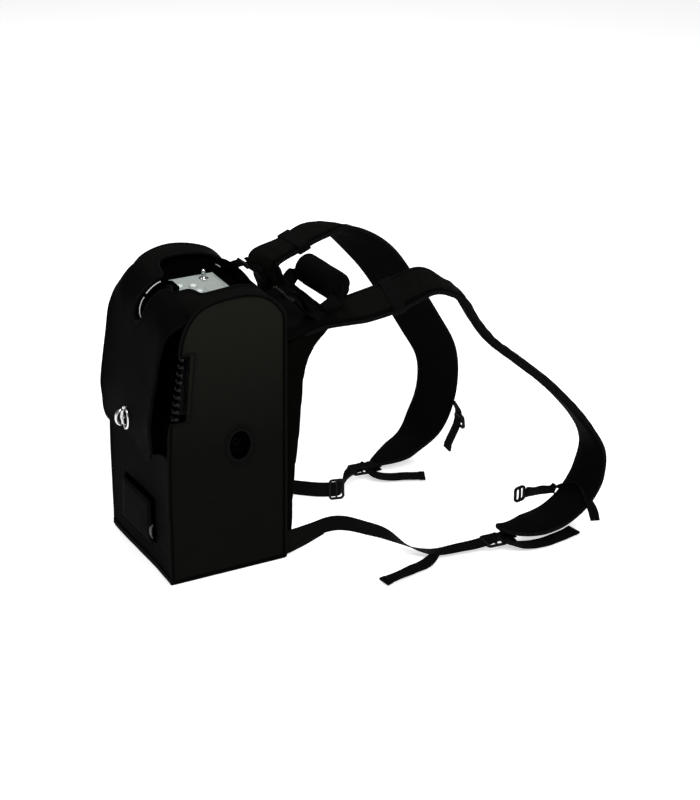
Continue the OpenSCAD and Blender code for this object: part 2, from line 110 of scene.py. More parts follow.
def two_tone(t, fac, dark, light):
    mix = t.nodes.new("ShaderNodeMix")
    mix.data_type = "RGBA"
    mix.inputs["A"].default_value = (*dark, 1)
    mix.inputs["B"].default_value = (*light, 1)
    t.links.new(fac, mix.inputs["Factor"])
    return mix.outputs["Result"]


def cloth(name, base, pitch_u, pitch_v, contrast, rough, sheen, bump=0.4, spec=0.35, wear=0.35, painted_top_light=0.0):
    """Woven cloth. UVs are in metres along the cloth, so the yarns keep their size everywhere.
    The top-light argument paints the cloth lighter towards the top of the case: painted light, standing in
    for the light from above."""
    m, t, bsdf = material(name)
    uv = add(t, "ShaderNodeTexCoord").outputs["UV"]
    sep = t.nodes.new("ShaderNodeSeparateXYZ")
    t.links.new(uv, sep.inputs[0])
    u = math_node(t, "SINE", math_node(t, "MULTIPLY", sep.outputs[0], 2 * math.pi / pitch_u))
    v = math_node(t, "SINE", math_node(t, "MULTIPLY", sep.outputs[1], 2 * math.pi / pitch_v))
    weave = math_node(t, "MULTIPLY_ADD", math_node(t, "MULTIPLY", u, v), 0.5, 0.5)
    noise_n = add(t, "ShaderNodeTexNoise", Scale=38.0, Detail=6.0, Roughness=0.6)
    big = add(t, "ShaderNodeTexNoise", Scale=7.0, Detail=3.0)
    obj = add(t, "ShaderNodeTexCoord").outputs["Object"]
    t.links.new(obj, noise_n.inputs["Vector"])
    t.links.new(obj, big.inputs["Vector"])
    patch = math_node(t, "ADD", math_node(t, "MULTIPLY", noise_n.outputs[0], 0.5),
                      math_node(t, "MULTIPLY", big.outputs[0], 0.5))
    tone = math_node(t, "ADD", math_node(t, "MULTIPLY", weave, contrast),
                     math_node(t, "MULTIPLY", patch, wear))
    dark = tuple(c * 0.55 for c in base)
    light = tuple(min(1, c * 1.8) for c in base)
    colour = two_tone(t, tone, dark, light)
    # painted light: higher up the case the colour is mixed towards a lighter tone, standing in for the light
    # from above
    if painted_top_light:
        height = add(t, "ShaderNodeSeparateXYZ")
        t.links.new(obj, height.inputs[0])
        up = add(t, "ShaderNodeMapRange", **{"From Min": 0.2, "From Max": 0.4, "To Max": painted_top_light})
        t.links.new(height.outputs[2], up.inputs["Value"])
        pale = t.nodes.new("ShaderNodeMix")
        pale.data_type = "RGBA"
        pale.inputs["B"].default_value = (*(c * 3.2 for c in base), 1)
        t.links.new(colour, pale.inputs["A"])
        t.links.new(up.outputs[0], pale.inputs["Factor"])
        colour = pale.outputs["Result"]
    t.links.new(colour, bsdf.inputs["Base Color"])
    t.links.new(math_node(t, "MULTIPLY_ADD", patch, 0.16, rough - 0.08), bsdf.inputs["Roughness"])
    b = add(t, "ShaderNodeBump", Strength=bump, Distance=0.0004)
    t.links.new(math_node(t, "ADD", weave, math_node(t, "MULTIPLY", noise_n.outputs[0], 0.7)),
                b.inputs["Height"])
    t.links.new(b.outputs[0], bsdf.inputs["Normal"])
    bsdf.inputs["Sheen Weight"].default_value = sheen
    bsdf.inputs["Sheen Roughness"].default_value = 0.45
    bsdf.inputs["Specular IOR Level"].default_value = spec
    bsdf.inputs["IOR"].default_value = 1.12
    MATS[name] = m


def hard(name, base, rough, metallic=0.0, grain=180.0, depth=0.06, vary=0.25, spec=0.5, ior=1.5):
    """Moulded plastic or metal with a fine grain and uneven polish."""
    m, t, bsdf = material(name)
    obj = add(t, "ShaderNodeTexCoord").outputs["Object"]
    fine = add(t, "ShaderNodeTexNoise", Scale=grain * 8, Detail=4.0)
    broad = add(t, "ShaderNodeTexNoise", Scale=grain / 8, Detail=5.0)
    t.links.new(obj, fine.inputs["Vector"])
    t.links.new(obj, broad.inputs["Vector"])
    dark = tuple(c * (1 - vary) for c in base)
    light = tuple(min(1, c * (1 + vary)) for c in base)
    t.links.new(two_tone(t, broad.outputs[0], dark, light), bsdf.inputs["Base Color"])
    polish = math_node(t, "MULTIPLY_ADD", broad.outputs[0], 0.18, max(0.02, rough - 0.09))
    t.links.new(polish, bsdf.inputs["Roughness"])
    b = add(t, "ShaderNodeBump", Strength=depth, Distance=0.0003)
    t.links.new(fine.outputs[0], b.inputs["Height"])
    t.links.new(b.outputs[0], bsdf.inputs["Normal"])
    bsdf.inputs["Metallic"].default_value = metallic
    bsdf.inputs["Specular IOR Level"].default_value = spec
    bsdf.inputs["IOR"].default_value = ior
    MATS[name] = m


# the side cloth is painted lighter towards the top, as if lit from above
cloth("case_nylon", (0.0032, 0.0033, 0.0026), 0.0013, 0.0013, 0.45, 0.6, 0.004, spec=0.07, painted_top_light=0.6)
cloth("cover_fabric", (0.0034, 0.0035, 0.0031), 0.0009, 0.0009, 0.25, 0.62, 0.003, bump=0.25, spec=0.05)
cloth("flap_fabric", (0.0022, 0.0022, 0.0022), 0.0009, 0.0009, 0.25, 0.62, 0.003, bump=0.25, spec=0.05)
cloth("binding_tape", (0.0033, 0.0033, 0.0032), 0.0009, 0.0018, 0.4, 0.6, 0.006, bump=0.6, spec=0.1)
cloth("webbing", (0.0026, 0.0026, 0.0025), 0.0022, 0.0012, 0.5, 0.55, 0.005, bump=0.9, spec=0.1)
cloth("pad_fabric", (0.0018, 0.0018, 0.0017), 0.0011, 0.0011, 0.35, 0.66, 0.004, bump=0.5, spec=0.06)
cloth("mesh_lining", (0.003, 0.003, 0.0024), 0.0031, 0.0031, 0.8, 0.72, 0.005, bump=1.4, spec=0.06)
hard("buckle_plastic", (0.003, 0.003, 0.0034), 0.34, grain=120, spec=0.3, ior=1.2)
hard("nickel", (0.72, 0.72, 0.73), 0.2, metallic=1.0, grain=90, depth=0.1, vary=0.12)
hard("shell_plastic", (0.0012, 0.0012, 0.0013), 0.34, grain=60, spec=0.1, ior=1.1)
hard("louvre_gloss", (0.001, 0.001, 0.0011), 0.3, grain=60, spec=0.3, ior=1.3)
# painted shade: a darker copy of mesh_lining for the back cushion, the lifter webbings and the lines beside
# the piping, which sit in shadow
cloth("painted_shade_mesh", (0.0011, 0.0011, 0.0009), 0.0031, 0.0031, 0.8, 0.72, 0.002, bump=1.4, spec=0.04)
hard("button_pale", (0.6, 0.66, 0.63), 0.4, grain=120, vary=0.1)
hard("panel_silver", (0.27, 0.31, 0.29), 0.42, grain=90, vary=0.12, depth=0.1)
hard("foot_rubber", (0.01, 0.01, 0.01), 0.8, depth=0.3)
hard("zinc", (0.4, 0.4, 0.42), 0.38, metallic=1.0)
hard("cast_aluminium", (0.45, 0.46, 0.48), 0.45, metallic=1.0, depth=0.4)
hard("tab_grey", (0.036, 0.036, 0.035), 0.6, grain=200, vary=0.3)
# painted highlight: pale grey for the thin beads that stand in for glints on dark glossy edges
hard("painted_glint", (0.5, 0.5, 0.5), 0.25, grain=60, vary=0.2)
hard("inner_plastic", (0.02, 0.02, 0.022), 0.5, depth=0.2)
hard("board_green", (0.012, 0.08, 0.035), 0.35, vary=0.4)
hard("filter_foam", (0.0006, 0.0006, 0.0007), 0.95, grain=260, depth=1.0, vary=0.5, spec=0.02, ior=1.05)
# painted shade: near-black, almost unreflecting plastic for the parts that sit in shadow inside the case: the
# housing, the carry handle and the nose spine
hard("painted_shade_black", (0.0004, 0.0004, 0.0004), 0.6, grain=60, spec=0.02, ior=1.04)
hard("hose", (0.2, 0.22, 0.23), 0.4)

SLOT = {s["node"]: s["material_slot"] for s in frame["record"]["subparts"]}
for node_name, obj in nodes.items():
    obj.data.materials.clear()
    # the housing shells wear the painted-shade black in place of their record slot, as they sit deep in
    # shadow
    look = "painted_shade_black" if node_name.startswith("housing") else SLOT[node_name]
    obj.data.materials.append(MATS[look])


# ---------------------------------------------------------------- geometry helpers
def mesh(name, verts, faces, mat, uvs=None, smooth=True):
    """verts in mm; uvs, one per vertex, in mm."""
    me = bpy.data.meshes.new(name)
    me.from_pydata([tuple(float(c) * MM for c in v) for v in verts], [], faces)
    if uvs is not None:
        layer = me.uv_layers.new(name="UVMap")
        for loop in me.loops:
            u = uvs[loop.vertex_index]
            layer.data[loop.index].uv = (u[0] * MM, u[1] * MM)
    if smooth:
        me.polygons.foreach_set("use_smooth", [True] * len(me.polygons))
    me.materials.append(MATS[mat])
    o = bpy.data.objects.new(name, me)
    bpy.context.scene.collection.objects.link(o)
    return o


def baked(o):
    """Applies the modifiers."""
    deps = bpy.context.evaluated_depsgraph_get()
    me = bpy.data.meshes.new_from_object(o.evaluated_get(deps))
    o.modifiers.clear()
    o.data = me
    return o


def place(o, body, node=None):
    """The piece rides its body and stands in for a CAD node."""
    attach(o, body)
    if node:
        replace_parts(o, node)
    return o


def unit(v):
    v = np.asarray(v, float)
    return v / np.maximum(np.linalg.norm(v, axis=-1, keepdims=True), 1e-9)


def spline(P, n):
    """Catmull-Rom through P, n steps per stretch."""
    P = np.asarray(P, float)
    out = []
    for i in range(len(P) - 1):
        a, b, c, d = P[max(i - 1, 0)], P[i], P[i + 1], P[min(i + 2, len(P) - 1)]
        for k in range(n):
            t = k / n
            out.append(0.5 * (2 * b + (c - a) * t + (2 * a - 5 * b + 4 * c - d) * t**2
                              + (3 * b - a - 3 * c + d) * t**3))
    out.append(P[-1])
    return np.array(out)


def lengths(C):
    return np.concatenate([[0], np.cumsum(np.linalg.norm(np.diff(C, axis=0), axis=1))])


def even(C, step):
    """The path again, at about equal steps."""
    L = lengths(C)
    s = np.linspace(0, L[-1], max(3, int(L[-1] / step) + 1))
    return np.stack([np.interp(s, L, C[:, k]) for k in range(C.shape[1])], 1), s / L[-1]


def frames(C, W, closed=False):
    """Tangent, side and up at each point of C, side nearest to W."""
    if closed:
        T = unit(np.roll(C, -1, 0) - np.roll(C, 1, 0))
    else:
        T = unit(np.gradient(C, axis=0))
    W = np.broadcast_to(np.asarray(W, float), C.shape)
    S = unit(W - T * np.sum(W * T, 1, keepdims=True))
    return T, S, np.cross(T, S)


def sweep(name, C, W, section, mat, closed=False):
    """section(i, s) gives the closed outline, as (across, up) pairs in mm, at point i, s mm along."""
    T, S, U = frames(C, W, closed)
    L = lengths(C)
    rings, uvs = [], []
    for i in range(len(C)):
        sec = np.asarray(section(i, L[i]))
        m = len(sec)
        rings.append(C[i] + S[i] * sec[:, :1] + U[i] * sec[:, 1:2])
        around = np.concatenate([[0], np.cumsum(np.linalg.norm(np.diff(sec, axis=0), axis=1))])
        uvs += [(a, L[i]) for a in around]
    V = np.concatenate(rings)
    n = len(C)
    F = []
    for i in range(n if closed else n - 1):
        j = (i + 1) % n
        for k in range(m):
            q = (k + 1) % m
            F.append((i * m + k, i * m + q, j * m + q, j * m + k))
    if not closed:
        F.append(tuple(range(m - 1, -1, -1)))
        F.append(tuple(range((n - 1) * m, n * m)))
    return mesh(name, V, F, mat, uvs)


def round_rect(w, t, r, n=4):
    """Rounded rectangle outline, counter-clockwise."""
    r = min(r, w / 2 - 0.01, t / 2 - 0.01)
    out = []
    for cx, cy, a in ((w / 2 - r, t / 2 - r, 0), (-w / 2 + r, t / 2 - r, 90), (-w / 2 + r, -t / 2 + r, 180),
                      (w / 2 - r, -t / 2 + r, 270)):
        for k in range(n + 1):
            b = math.radians(a + 90 * k / n)
            out.append((cx + r * math.cos(b), cy + r * math.sin(b)))
    return out


def tube(name, C, r, mat, closed=False, n=10):
    ring = [(r * math.cos(2 * math.pi * k / n), r * math.sin(2 * math.pi * k / n)) for k in range(n)]
    W = (0.31, 0.72, 0.62)
    return sweep(name, np.asarray(C, float), W, lambda i, s: ring, mat, closed)


def sew(body, name, C, U, long=3.2, gap=1.5, r=0.38):
    """A row of short threads along C on the body's cloth, U pointing out of it."""
    return place(stitches(name, C, U, long, gap, r), body)


def stitches(name, C, U, long, gap, r):
    L = lengths(C)
    U = np.broadcast_to(np.asarray(U, float), C.shape)
    V, F = [], []
    s = gap
    while s + long < L[-1]:
        a = np.array([np.interp(s, L, C[:, k]) for k in range(3)])
        b = np.array([np.interp(s + long, L, C[:, k]) for k in range(3)])
        u = unit(np.array([np.interp(s, L, U[:, k]) for k in range(3)]))
        t = unit(b - a)
        w = np.cross(t, u)
        base = len(V)
        V += [a, b]
        for f, h in ((0.25, 1.0), (0.75, 1.0)):
            p = a + (b - a) * f
            for k in range(6):
                g = math.radians(60 * k)
                V.append(p + r * h * (w * math.cos(g) + u * (math.sin(g) + 0.3)))
        for k in range(6):
            q = (k + 1) % 6
            F += [(base, base + 2 + q, base + 2 + k), (base + 1, base + 8 + k, base + 8 + q),
                  (base + 2 + k, base + 2 + q, base + 8 + q, base + 8 + k)]
        s += long + gap
    return mesh(name, V, F, "binding_tape", [(v[0], v[2]) for v in V])


def join(name, *objs):
    for o in bpy.context.view_layer.objects:
        o.select_set(False)
    for o in objs:
        o.select_set(True)
    bpy.context.view_layer.objects.active = objs[0]
    bpy.ops.object.join()
    objs[0].name = name
    return objs[0]


def cutter(verts, faces):
    me = bpy.data.meshes.new("cutter")
    me.from_pydata([tuple(c * MM for c in v) for v in verts], [], faces)
    b = bmesh.new()
    b.from_mesh(me)
    bmesh.ops.recalc_face_normals(b, faces=b.faces)
    b.to_mesh(me)
    b.free()
    o = bpy.data.objects.new("cutter", me)
    bpy.context.scene.collection.objects.link(o)
    return o


def prism(outline, axis, lo, hi):
    """Closed prism of a flat outline. axis 0: outline is (y, z); 1: (x, z); 2: (x, y)."""
    V = []
    for h in (lo, hi):
        for a, b in outline:
            V.append({0: (h, a, b), 1: (a, h, b), 2: (a, b, h)}[axis])
    n = len(outline)
    F = [tuple(range(n)), tuple(range(2 * n - 1, n - 1, -1))]
    F += [(k, n + k, n + (k + 1) % n, (k + 1) % n) for k in range(n)]
    return cutter(V, F)


def cut(o, *tools):
    for c in tools:
        m = o.modifiers.new("cut", "BOOLEAN")
        m.operation = "DIFFERENCE"
        m.object = c
        m.solver = "EXACT"
    baked(o)
    for c in tools:
        bpy.data.objects.remove(c)
    return o


def grid(name, fn, nu, nv, mat, thick, inward=True):
    """Cloth sheet: fn(u, v) gives a point in mm and its cloth coordinates; solid of the given thickness."""
    V, UV = [], []
    for j in range(nv + 1):
        for i in range(nu + 1):
            p, q = fn(i / nu, j / nv)
            V.append(p)
            UV.append(q)
    F = [(j * (nu + 1) + i, j * (nu + 1) + i + 1, (j + 1) * (nu + 1) + i + 1, (j + 1) * (nu + 1) + i)
         for j in range(nv) for i in range(nu)]
    o = mesh(name, V, F, mat, UV)
    m = o.modifiers.new("thick", "SOLIDIFY")
    m.thickness = thick * MM
    m.offset = -1 if inward else 1
    return baked(o)


def soft(x, y, z, scale, seed=0.0):
    return noise.noise(Vector((x / scale + seed, y / scale + seed * 1.7, z / scale - seed)))


def smoothstep(a, b, x):
    t = min(1.0, max(0.0, (x - a) / (b - a)))
    return t * t * (3 - 2 * t)


# ---------------------------------------------------------------- case outline, in the side view
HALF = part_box("side_panel_right")[1].x / MM
SIDE = {1: "right", -1: "left"}
CASE = spline([(-90.5, 3), (-89, 16), (-88.6, 60), (-88, 145), (-85.5, 215), (-81.5, 262), (-75, 303),
               (-66, 350), (-57, 388), (-43, 411), (-25, 424), (5, 431), (44, 431), (74, 420), (94, 399),
               (99, 378), (98, 290), (96, 142), (94, 14), (94, 3)], 10)
CREST = int(np.argmax(CASE[:, 1]))


def front_y(z):
    return float(np.interp(z, CASE[: CREST + 1, 1], CASE[: CREST + 1, 0]))


def back_y(z):
    return float(np.interp(z, CASE[CREST:, 1][::-1], CASE[CREST:, 0][::-1]))


def seam_z(y):
    """Height of the side seam over the top of the case."""
    part = CASE[90:151]
    return float(np.interp(y, part[:, 0], part[:, 1]))


def raised(side, y, z):
    """The far shoulder of the case stands a little higher."""
    return z + (8.0 * smoothstep(290, 432, z) * (1 - 0.75 * smoothstep(0, 60, y)) if side < 0 else 0.0)


def far_out(x, y, z):
    """The far front edge of the case stands a little further forward."""
    return y - 6.0 * smoothstep(70, -97, x) * smoothstep(300, 230, z) * smoothstep(-50, -84, y)


VENT = [(-112, 256), (-59, 256), (-57, 259), (-47, 353), (-48.5, 356), (-112, 356)]
PORT = (23.0, 203.0)


def ellipse(cy, cz, a, b, n=48):
    return [(cy + a * math.cos(2 * math.pi * k / n), cz + b * math.sin(2 * math.pi * k / n))
            for k in range(n)]


def side_cloth(side):
    nu, nv = 70, 150

    def fn(u, v):
        z = min(430.9 * v**0.92, 430.6)
        y0, y1 = front_y(z) + 0.5, back_y(z) - 0.5
        y = y0 + (y1 - y0) * u
        edge = min(y - y0, y1 - y, z, (431 - z) * 0.8)
        puff = 2.0 * smoothstep(0, 46, edge) - 1.6 * (1 - smoothstep(0, 7, edge))
        wrinkle = 0.55 * soft(y, z, 0, 60, side) + 0.25 * soft(y * 1.5, z, 0, 22, side + 3)
        pull = 0.9 * math.exp(-((z - 6) / 14) ** 2) * math.sin(y / 13 + side)
        x = HALF + puff + (wrinkle + 0.3 * pull) * smoothstep(0, 20, edge)
        return (side * x, far_out(side * x, y, z), raised(side, y, z)), (y, z)

    o = grid(f"case_side_{SIDE[side]}", fn, nu, nv, "case_nylon", 3.2, inward=side > 0)
    tools = [prism(VENT, 0, side * (HALF - 14), side * (HALF + 14))]
    if side > 0:
        tools.append(prism(ellipse(*PORT, 17.6, 23.6), 0, HALF - 14, HALF + 14))
    cut(o, *tools)
    place(o, "case", f"side_panel_{SIDE[side]}")


side_cloth(1)
side_cloth(-1)


# piping along each side panel's edge, from the vent over the top, down the back and along the base
def piping(side):
    start = int(np.argmax(CASE[:, 1] >= 357))
    stop = int(np.argmax(CASE[:, 1] >= 256))
    base = [(94, 3), (91.5, 1.9)] + [(y, 1.9) for y in np.linspace(88, -85, 44)] + [(-88.5, 1.9), (-90.3, 3)]
    ring = [tuple(p) for p in CASE[start:]] + base + [tuple(p) for p in CASE[:stop]]
    C = np.array([(side * (HALF - 0.6), far_out(side * HALF, y, z), raised(side, y, max(z, 1.9)))
                  for y, z in ring])
    C, _ = even(C, 4.0)
    jitter = np.array([[0.25 * soft(p[1], p[2], 0, 30, 5), 0, 0] for p in C])
    tag = SIDE[side]
    o = tube(f"piping_{tag}", C + side * jitter, 1.9, "binding_tape")
    inner, _ = even(np.array([(side * (HALF + 0.1), y, raised(side, y, z)) for y, z in ring]), 3.0)
    centre = np.array([side * HALF, 10, 215])
    T = unit(np.gradient(inner, axis=0))
    N = np.cross(T, np.array([side, 0, 0]))
    N = N * np.sign(np.sum(N * (centre - inner), 1, keepdims=True))
    C2 = inner + N * 5.0
    sew("case", f"edge_stitches_{tag}", C2, (side, 0, 0), long=3.0, gap=1.6)
    # a thin dark tube beside the piping paints the shadow under the overhanging edge
    groove = tube(f"edge_shadow_line_{tag}", inner + N * 2.7 + [side * 0.3, 0, 0], 1.1, "painted_shade_mesh")
    place(groove, "case")
    return place(o, "case")


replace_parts(piping(1), "edge_piping")
piping(-1)


# ---------------------------------------------------------------- front, base and back cloth
def wrap(name, path, width, node, bulge=2.5, holes=()):
    """Cloth along a path in the side view, bulged between the two side panels."""
    P, _ = even(np.array(path, float), 3.2)
    T = unit(np.gradient(P, axis=0))
    N = np.stack([-T[:, 1], T[:, 0]], 1)
    L = lengths(P)

    def fn(u, v):
        f = v * (len(P) - 1)
        i = int(min(f, len(P) - 2))
        k = f - i
        p = P[i] * (1 - k) + P[i + 1] * k
        nrm = unit(N[i] * (1 - k) + N[i + 1] * k)
        s = L[i] * (1 - k) + L[i + 1] * k
        x = (u * 2 - 1) * width
        d = bulge * (1 - (x / width) ** 4) * smoothstep(0, 30, s) * smoothstep(0, 30, L[-1] - s) - 0.6
        d += 0.6 * soft(x, s, 0, 55, 2) + 0.22 * soft(x, s * 1.6, 0, 20, 7)
        q = p + nrm * d
        return (x, far_out(x, q[0], q[1]), q[1]), (x, s)

    mat = "flap_fabric" if name == "case_front" else "case_nylon"
    o = grid(name, fn, 60, max(8, len(P)), mat, 3.0, inward=False)
    if holes:
        cut(o, *holes)
    place(o, "case", node)


front_path = [(front_y(z), z) for z in np.linspace(262, 13, 70)]
# the front panel is cut away behind the flap; near the right corner the cut runs down to about z 200 so the
# near-black housing shows, partly the vent's real opening and partly a painted shadow cast by the flap
front_cut_and_shadow = [(-130, 300)]
front_cut_and_shadow += [(x, 229 + 32 * (1 - smoothstep(22, 88, -x))
             - (83 - 22 * smoothstep(20, 90, x)) * smoothstep(-12, 16, x))
            for x in np.linspace(-112, 112, 80)] + [(130, 300)]
hole = [(-67, 39.5), (47.0, 39.5), (47.0, 114), (-58, 114)]
W = HALF - 1.2
wrap("case_front", front_path, W, "front_panel",
     holes=(prism(front_cut_and_shadow, 1, -120, -40), prism(hole, 1, -120, -60)))
base_path = [(front_y(13.5), 13.5), (-90.2, 4), (-89.4, 1), (-87, 0)]
base_path += [(y, 0.0) for y in np.linspace(-80, 84, 24)]
base_path += [(91.5, 0.0), (93.6, 1.2), (94, 4), (back_y(13.5), 13.5)]
wrap("case_base", base_path, W, "base_panel", bulge=-0.4)
welt_line = [(x, far_out(x, front_y(12) - 1.0, 12), 11.0) for x in np.linspace(-W, W, 60)]
welt = tube("front_welt", even(np.array(welt_line), 3.0)[0], 1.7, "flap_fabric")
place(welt, "case")
back_path = [(back_y(z), z) for z in np.linspace(12.5, 384, 70)]
wrap("case_back", back_path, W, "back_panel", bulge=0.6)


# ---------------------------------------------------------------- top cover, window and flap
COVER = spline([(-44, 425), (-24, 431.5), (6, 434.5), (42, 433), (72, 422), (91, 403), (98, 382)], 10)


def side_pull(x, y, z):
    """How far the cloth is drawn to the side seam, and how much the far shoulder lifts it."""
    f = min(1.0, abs(x) / (HALF - 1.0))
    lift = 8.0 * smoothstep(40, 98, -x) * smoothstep(290, 432, z) * (1 - 0.75 * smoothstep(0, 60, y))
    return f ** (5 if x > 0 else 9), lift


def cover_z(x, y):
    z = float(np.interp(y, COVER[:, 0], COVER[:, 1]))
    k, lift = side_pull(x, y, z)
    return z * (1 - k) + seam_z(y) * k + lift


def cover_fn(u, v):
    f = v * (len(COVER) - 1)
    i = int(min(f, len(COVER) - 2))
    p = COVER[i] * (1 - f + i) + COVER[i + 1] * (f - i)
    x = (u * 2 - 1) * (HALF - 1.0)
    k, lift = side_pull(x, p[0], p[1])
    z = p[1] * (1 - k) + seam_z(p[0]) * k + lift
    z += (0.5 * soft(x, p[0], 0, 40, 4) + 0.25 * soft(x, p[0], 0, 15, 9)) * (1 - k)
    return (x, p[0], z), (x, v * 190)


cover = grid("case_top", cover_fn, 90, 60, "cover_fabric", 2.8, inward=True)


def window_outline():
    """Window over the panel and the nose slot. The near edge swings out in a wave, the far one is square."""
    near = [(17, -60), (17, -46), (22, -38), (39, -44), (48, -36), (55, -25), (66, -20), (77, -17), (81, -8),
            (81, 10), (77, 36), (70, 60), (66, 70), (58, 75), (40, 76)]
    far = [(-40, 76), (-54, 74), (-63, 66), (-65, 52), (-66, 20), (-66, -8), (-63, -20), (-52, -27),
           (-36, -30), (-22, -34), (-17, -44), (-17, -60)]
    near = [tuple(p) for p in spline(near, 5)]
    far = [tuple(p) for p in spline(far, 5)]
    return near, far


w_right, w_left = window_outline()
cut(cover, prism(w_right + w_left, 2, 360, 460))
place(cover, "case", "top_cover")

path = w_right[3:] + [(x, 76.0) for x in np.linspace(34, -34, 12)] + w_left[:-3]
path = [p for p in path if p[1] > -44]
C = np.array([(x, y, cover_z(x, y) - 0.4) for x, y in path])
C, _ = even(spline(C, 3), 2.2)
wb = sweep("window_binding", C, (0, 0, 1), lambda i, s: round_rect(4.6, 4.2, 1.9), "binding_tape")
place(wb, "case", "opening_bindings")
inward = unit(np.array([0.0, 24.0]) - C[:, :2])
C3 = C.copy()
C3[:, :2] -= inward * 6.0
C3[:, 2] = [cover_z(p[0], p[1]) + 0.9 for p in C3]
sew("case", "window_stitches", C3[6:-6], (0, 0, 1))

FLAP = spline([(-44, 425), (-62, 416.5), (-76, 401), (-85, 377), (-92, 335), (-100.5, 292), (-106.5, 250),
               (-106.5, 197)], 14)
FLAP, _ = even(FLAP, 2.0)
FLAP_L = lengths(FLAP)
FLAP_T = unit(np.gradient(FLAP, axis=0))
FLAP_N = np.stack([FLAP_T[:, 1], -FLAP_T[:, 0]], 1)
FLAP_HALF = 93.0
FLAP_LOW = 197.0
LOCK_Z = 229
SLOT_Z, SLOT_R = 392.0, 17
CORNER = 17.0


def flap_half(z):
    """Half width: full at the seams, drawn in by the vents, its lower corners rounded."""
    full = FLAP_HALF + 3.0 * smoothstep(300, 368, z) + 7.5 * smoothstep(368, 412, z)
    if z > FLAP_LOW + CORNER:
        return full
    return full - CORNER + math.sqrt(max(0.0, CORNER**2 - (FLAP_LOW + CORNER - z) ** 2))


SEWN = float(np.interp(-374, -FLAP[:, 1], FLAP_L))


def flap_point(x, s, lift=0.0):
    p = np.array([np.interp(s, FLAP_L, FLAP[:, k]) for k in range(2)])
    n = unit(np.array([np.interp(s, FLAP_L, FLAP_N[:, k]) for k in range(2)]))
    z = p[1]
    edge = max(0.0, 1 - abs(x) / 97)
    wave = 1.0 * soft(x, z, 0, 70, 1) + 0.3 * soft(x, z, 0, 24, 6)
    curl = 2.2 * smoothstep(235, 197, z) * (abs(x) / 97) ** 2
    curl += 4.0 * (1 - edge) ** 6 * smoothstep(385, 340, z) * smoothstep(206, 250, z)
    near_lock = smoothstep(14, 34, math.hypot(x, z - LOCK_Z))
    hinge = smoothstep(0, 22, s)
    p = p + n * (lift + (wave * near_lock + curl) * hinge)
    # near the top the cloth is drawn back to the side seams
    t = s / SEWN
    k, up = side_pull(x, p[0], z)
    k *= 1 - (smoothstep(0.1, 0.95, t) if x > 0 else smoothstep(0.35, 1.25, t))
    low = 410.5 - 40 * t
    q = p * (1 - k) + np.array([front_y(low), low]) * k
    return (x, q[0], q[1] + up)


def flap_fn(u, v):
    s = v * FLAP_L[-1]
    z = float(np.interp(s, FLAP_L, FLAP[:, 1]))
    x = (u * 2 - 1) * flap_half(z)
    return flap_point(x, s), (x, s)


flap = grid("flap_cloth", flap_fn, 90, 120, "flap_fabric", 3.3, inward=False)


def arc(cx, cz, r, angles):
    return [(cx + r * math.cos(math.radians(a)), cz + r * math.sin(math.radians(a))) for a in angles]


slot_out = [(-SLOT_R, 450), (-SLOT_R, SLOT_Z)] + arc(0, SLOT_Z, SLOT_R, range(190, 351, 16))
slot_out += [(SLOT_R, SLOT_Z), (SLOT_R, 450)]
lock_out = arc(0, LOCK_Z + 13, 4, range(5, 180, 15)) + arc(0, LOCK_Z - 13, 4, range(185, 360, 15))
cut(flap, prism(slot_out, 1, -130, -38), prism(lock_out, 1, -130, -80))
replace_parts(flap, "flap")


def on_flap(x, z, lift=0.0):
    s = float(np.interp(-z, -FLAP[:, 1], FLAP_L))
    return flap_point(x, s, lift)


rim = [(flap_half(z), z) for z in np.linspace(400, FLAP_LOW + CORNER, 80)]
rim += arc(FLAP_HALF - CORNER, FLAP_LOW + CORNER, CORNER, range(-6, -91, -6))
rim += [(x, FLAP_LOW) for x in np.linspace(FLAP_HALF - CORNER - 3, -FLAP_HALF + CORNER + 3, 30)]
rim += [(-x, z) for x, z in reversed(rim[:95])]
C = np.array([on_flap(x, z, -1.6) for x, z in rim])
C, _ = even(C, 2.6)
N = np.array([(0, -1, 0.05 if p[2] < 330 else 0.6) for p in C])
fb = sweep("flap_binding", C, N, lambda i, s: round_rect(4.2, 4.6, 1.8), "flap_fabric")
C4 = np.array([on_flap(x * 0.925 if abs(x) > 1 else x, z + 6.5 * smoothstep(260, 200, z), 0.35)
               for x, z in rim])
C4, _ = even(C4, 2.6)
st = stitches("flap_stitches", C4, (0, -1, 0.2), 3.2, 1.5, 0.38)
s_path = [(SLOT_R, z) for z in np.linspace(422, SLOT_Z, 20)] + arc(0, SLOT_Z, SLOT_R, range(-12, -170, -12))
s_path += [(-SLOT_R, z) for z in np.linspace(SLOT_Z, 422, 20)]
C = np.array([on_flap(x, z, -1.4) for x, z in s_path])
C, _ = even(C, 2.2)
sb = sweep("slot_binding", C, (0.0, -0.8, 0.6), lambda i, s: round_rect(4.6, 4.4, 1.7), "binding_tape")
for x, slot in ((fb, "flap_fabric"), (st, "binding_tape"), (sb, "binding_tape"), (flap, "flap_fabric")):
    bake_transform(x)


# bindings of the vents and the round port
def tape_ring(name, C, normal, w, t, closed, body="case"):
    C = np.asarray(C, float)
    o = sweep(name, C, normal, lambda i, s: [(b, a) for a, b in round_rect(w, t, t * 0.45)], "binding_tape",
              closed)
    place(o, body)
    return o


